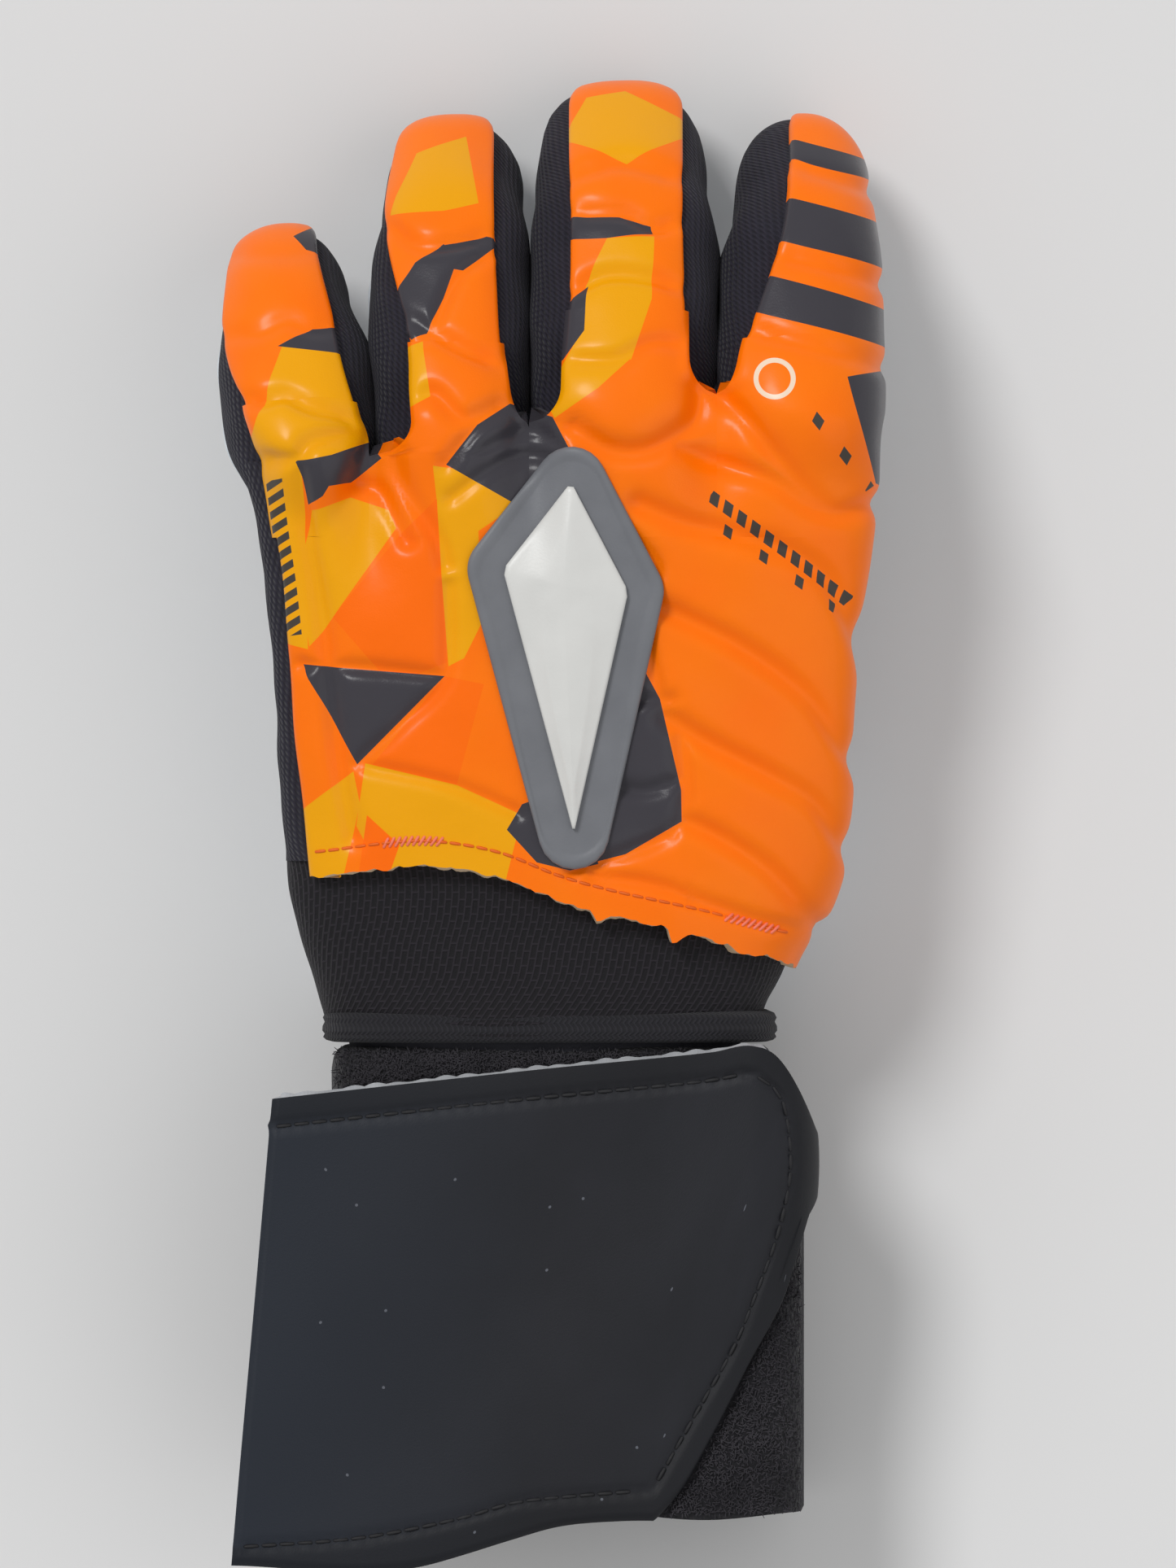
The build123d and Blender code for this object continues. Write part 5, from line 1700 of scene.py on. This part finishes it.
on_cuff = surface(cuff)
on_wedge = surface(bpy.data.objects["strap_elastic_top"], bpy.data.objects["strap_elastic_band"])
wedge_spots, cuff_spots = [], []
while len(wedge_spots) < 3000:
    x, y = stray.uniform(19, 46), stray.uniform(-90.5, -42)
    if x > float(film_edge(y)) + 0.4:
        wedge_spots.append((x, y))
while len(cuff_spots) < 2600:
    x, y = stray.uniform(-39.5, 40), stray.uniform(-15, -5.6)
    if y > float(film_upper(np.array(x), 1e3)) + 0.3:
        cuff_spots.append((x, y))
wedge_fuzz = fuzz("strap_fuzz", wedge_spots, on_wedge, fibre)
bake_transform(wedge_fuzz)
cuff_fuzz = fuzz("cuff_fuzz", cuff_spots, on_cuff, fibre)
declare(cuff_fuzz, "loop_pile", body="hand")
print("fibres", len(wedge_spots) + len(cuff_spots))

# %% [markdown]
# ## The thumb and its pouch
# The thumb is one more finger, folded under the palm, with orange foam on its back and
# latex on its pad. A padded pouch joins it to the palm: it is stuffed, so its sides bulge.

# %% Thumb
thumb_joint = joint_mm("thumb_swing")
bend_joint = joint_mm("thumb_bend")
thumb_way = (bend_joint - thumb_joint)[:2]
thumb_bend_at = float(np.linalg.norm(thumb_way))
thumb_way = thumb_way / thumb_bend_at
thumb_side = np.array([thumb_way[1], -thumb_way[0]])
THUMB_END = 50.3


def thumb_row(s, start, end, count, grow=0.0):
    """One section of the thumb, s millimetres from where it swings."""
    half = np.interp(s, [-13, 0, 27, 50], [12.6, 12.6, 12.2, 11.2]) + grow
    middle = np.interp(s, [-13, 0, 27, 50], [11.8, 11.8, 10.8, 9.6])
    tall = np.interp(s, [-13, 0, 27, 50], [10.2, 10.2, 9.6, 8.4]) + grow
    tip = np.clip((s - (THUMB_END - 12)) / 12, 0, 1)
    heel = np.clip(-s / 12.6, 0, 1)
    shrink = (1 - tip ** 2.2) ** (1 / 2.2) * math.sqrt(max(1 - heel ** 2, 0))
    tall_shrink = (1 - tip ** 2.2) ** (1 / 2.2) * (1 - heel ** 4) ** 0.25
    across, rise = oval(0, 0, half * shrink, tall * tall_shrink, tall * tall_shrink, 2.4,
                        start, end, count)
    place = thumb_joint[:2] + thumb_way * s
    return np.stack([place[0] + thumb_side[0] * across, place[1] + thumb_side[1] * across,
                     middle + rise], 1)


split = 12.0
heel_spots = -12.5 * np.cos(np.radians(np.linspace(4, 90, 10)))
tip_spots = THUMB_END - 12 + 12 * np.sin(np.radians(np.linspace(8, 90, 12)))
lower = np.concatenate([heel_spots, np.linspace(1, split, 12)])
upper = np.concatenate([np.linspace(split, THUMB_END - 12, 28), tip_spots])


def thumb_blend(piece):
    low = [*(thumb_joint[:2] + thumb_way * (thumb_bend_at - 9)), bend_joint[2]]
    high = [*(thumb_joint[:2] + thumb_way * (thumb_bend_at + 9)), bend_joint[2]]
    tuple(to_metres(low))
    tuple(to_metres(high))
    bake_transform(piece)


for part, spots in (("lower", lower), ("upper", upper)):
    outer = creased(np.array([thumb_row(s, 180, -180, 81, -0.9) for s in spots]), 0.2)
    outer[:, -1] = outer[:, 0]
    inner = np.array([thumb_row(s, 180, -180, 81, -2.0) for s in spots])
    sock = ring_tube(f"thumb_sock_{part}", outer, inner, [gusset_mesh])
    # foam and latex leave out the first two rings of the lower part and the last two of the upper
    open_spots = spots[2:] if part == "lower" else spots[:-2]
    back = np.array([thumb_row(s, 146, 34, 40, 0.5) for s in open_spots])
    x, y = back[..., 0], back[..., 1]
    along = (x - thumb_joint[0]) * thumb_way[0] + (y - thumb_joint[1]) * thumb_way[1]
    flex = sum(np.exp(-(((along - at) / 1.7) ** 2)) for at in (17, 27, 37))
    pressed_back = back - normals_of(back) * (1.1 * flex)[..., None]
    ends = "lrs" if part == "lower" else "lre"
    foam = make_sheet(f"thumb_foam_{part}", rolled(pressed_back, 1.6, ends), 3.0, [thumb_foam],
                      plan=back[..., :2])
    grip = np.array([thumb_row(s, -12, -168, 46, 0.3) for s in open_spots])
    strip = make_sheet(f"thumb_latex_{part}", rolled(grip, 1.2, ends), 2.4, [latex])
    for piece, node, label, fill in ((sock, "gusset", "gusset_mesh", None),
                                     (foam, "back", "backhand_foam", 0.9),
                                     (strip, "latex", "grip_latex", 0.9)):
        if part == "lower":
            declare(piece, label, f"thumb_base_{node}", body="thumb_base", fill=fill)
        else:
            thumb_blend(piece)
            declare(piece, label, f"thumb_tip_{node}", fill=fill)

arc = [thumb_joint[:2] + 14.4 * np.array([math.cos(a), math.sin(a)])
       for a in np.radians(np.linspace(198, 342, 22))]
pouch_outline = [(13.5, 40), (13.0, 30), (13.8, 20), (17, 15.6), (24, 14.8), (38, 14.8),
                 (45, 15.6), (48.4, 20), (49, 30), (48.4, 40)]
concave = [p for p in arc[::-1] if pouch_outline[0][0] + 1 < p[0] < pouch_outline[-1][0] - 1]
loop = dense(anticlockwise([*pouch_outline, *concave]), 1.6)


def pouch_ring(share, level):
    middle = np.array([31.0, 27.0])
    ring = middle + (loop - middle) * share
    ceiling = palm_height(ring[:, 1]) + 1.6
    return np.stack([ring[:, 0], ring[:, 1], 0.7 + (ceiling - 0.7) * level], 1)


profile = [(0.05, 0.0), (0.5, 0.0), (0.8, 0.01), (0.92, 0.05), (0.975, 0.14), (1.0, 0.3),
           (1.01, 0.5), (1.0, 0.72), (0.97, 0.88), (0.9, 0.97), (0.7, 1.0), (0.3, 1.0), (0.05, 1.0)]
rings = [pouch_ring(share, level) for share, level in profile]
n = len(loop)
faces = [[r * n + k, r * n + (k + 1) % n, (r + 1) * n + (k + 1) % n, (r + 1) * n + k]
         for r in range(len(rings) - 1) for k in range(n)]
faces.append(list(range(n))[::-1])
faces.append([(len(rings) - 1) * n + k for k in range(n)])
pouch = new_piece("thumb_pouch_padded", np.concatenate(rings), faces, [latex])
puffed(pouch, 4.0, 1.6)
declare(pouch, "grip_latex", "thumb_pouch", body="hand", fill=0.8)
print("thumb done")

# %% [markdown]
# ## Floor, light and camera
# The glove lies on a pale floor under two soft lamps, and the camera looks straight down
# from far off, so that heights don't spread the outline.

# %% Stage
floor_mesh = bpy.data.meshes.new("floor")
floor_mesh.from_pydata([(-4, -4, 0), (4, -4, 0), (4, 4, 0), (-4, 4, 0)], [], [(0, 1, 2, 3)])
floor = bpy.data.objects.new("floor", floor_mesh)
bpy.context.scene.collection.objects.link(floor)
floor_material = bpy.data.materials.new("painted board, matt")
floor_material.use_nodes = True
paper = floor_material.node_tree.nodes["Principled BSDF"]
paper.inputs["Base Color"].default_value = colour("#DEDEDE")
paper.inputs["Roughness"].default_value = 0.95
paper.inputs["Specular IOR Level"].default_value = 0.0
floor_mesh.materials.append(floor_material)

world = bpy.data.worlds.new("soft studio")
bpy.context.scene.world = world
world.use_nodes = True
world.node_tree.nodes["Background"].inputs[0].default_value = (1, 1, 1, 1)
world.node_tree.nodes["Background"].inputs[1].default_value = 0.52


def lamp(name, place, width, power):
    """A far, wide soft light that shines evenly from one side."""
    light = bpy.data.lights.new(name, "SUN")
    light.angle, light.energy = math.radians(width), power
    lamp_object = bpy.data.objects.new(name, light)
    bpy.context.scene.collection.objects.link(lamp_object)
    lamp_object.location = place
    lamp_object.rotation_euler = (-Vector(place)).to_track_quat("-Z", "Y").to_euler()


lamp("key lamp", (-0.65, 0.8, 1.2), 18, 1.5)
lamp("fill lamp", (0.9, -0.3, 1.0), 60, 0.4)

FRAME_HEIGHT, DISTANCE, TOP = 0.289, 2.5, 0.045
camera_data = bpy.data.cameras.new("camera")
camera_data.sensor_fit = "AUTO"
camera_data.sensor_width = 36.0
camera_data.lens = 36.0 * DISTANCE / FRAME_HEIGHT
camera = bpy.data.objects.new("camera", camera_data)
bpy.context.scene.collection.objects.link(camera)
camera.location = (0.0071, 0.0062, TOP + DISTANCE)
bpy.context.scene.camera = camera
bpy.context.scene.view_settings.view_transform = "Standard"
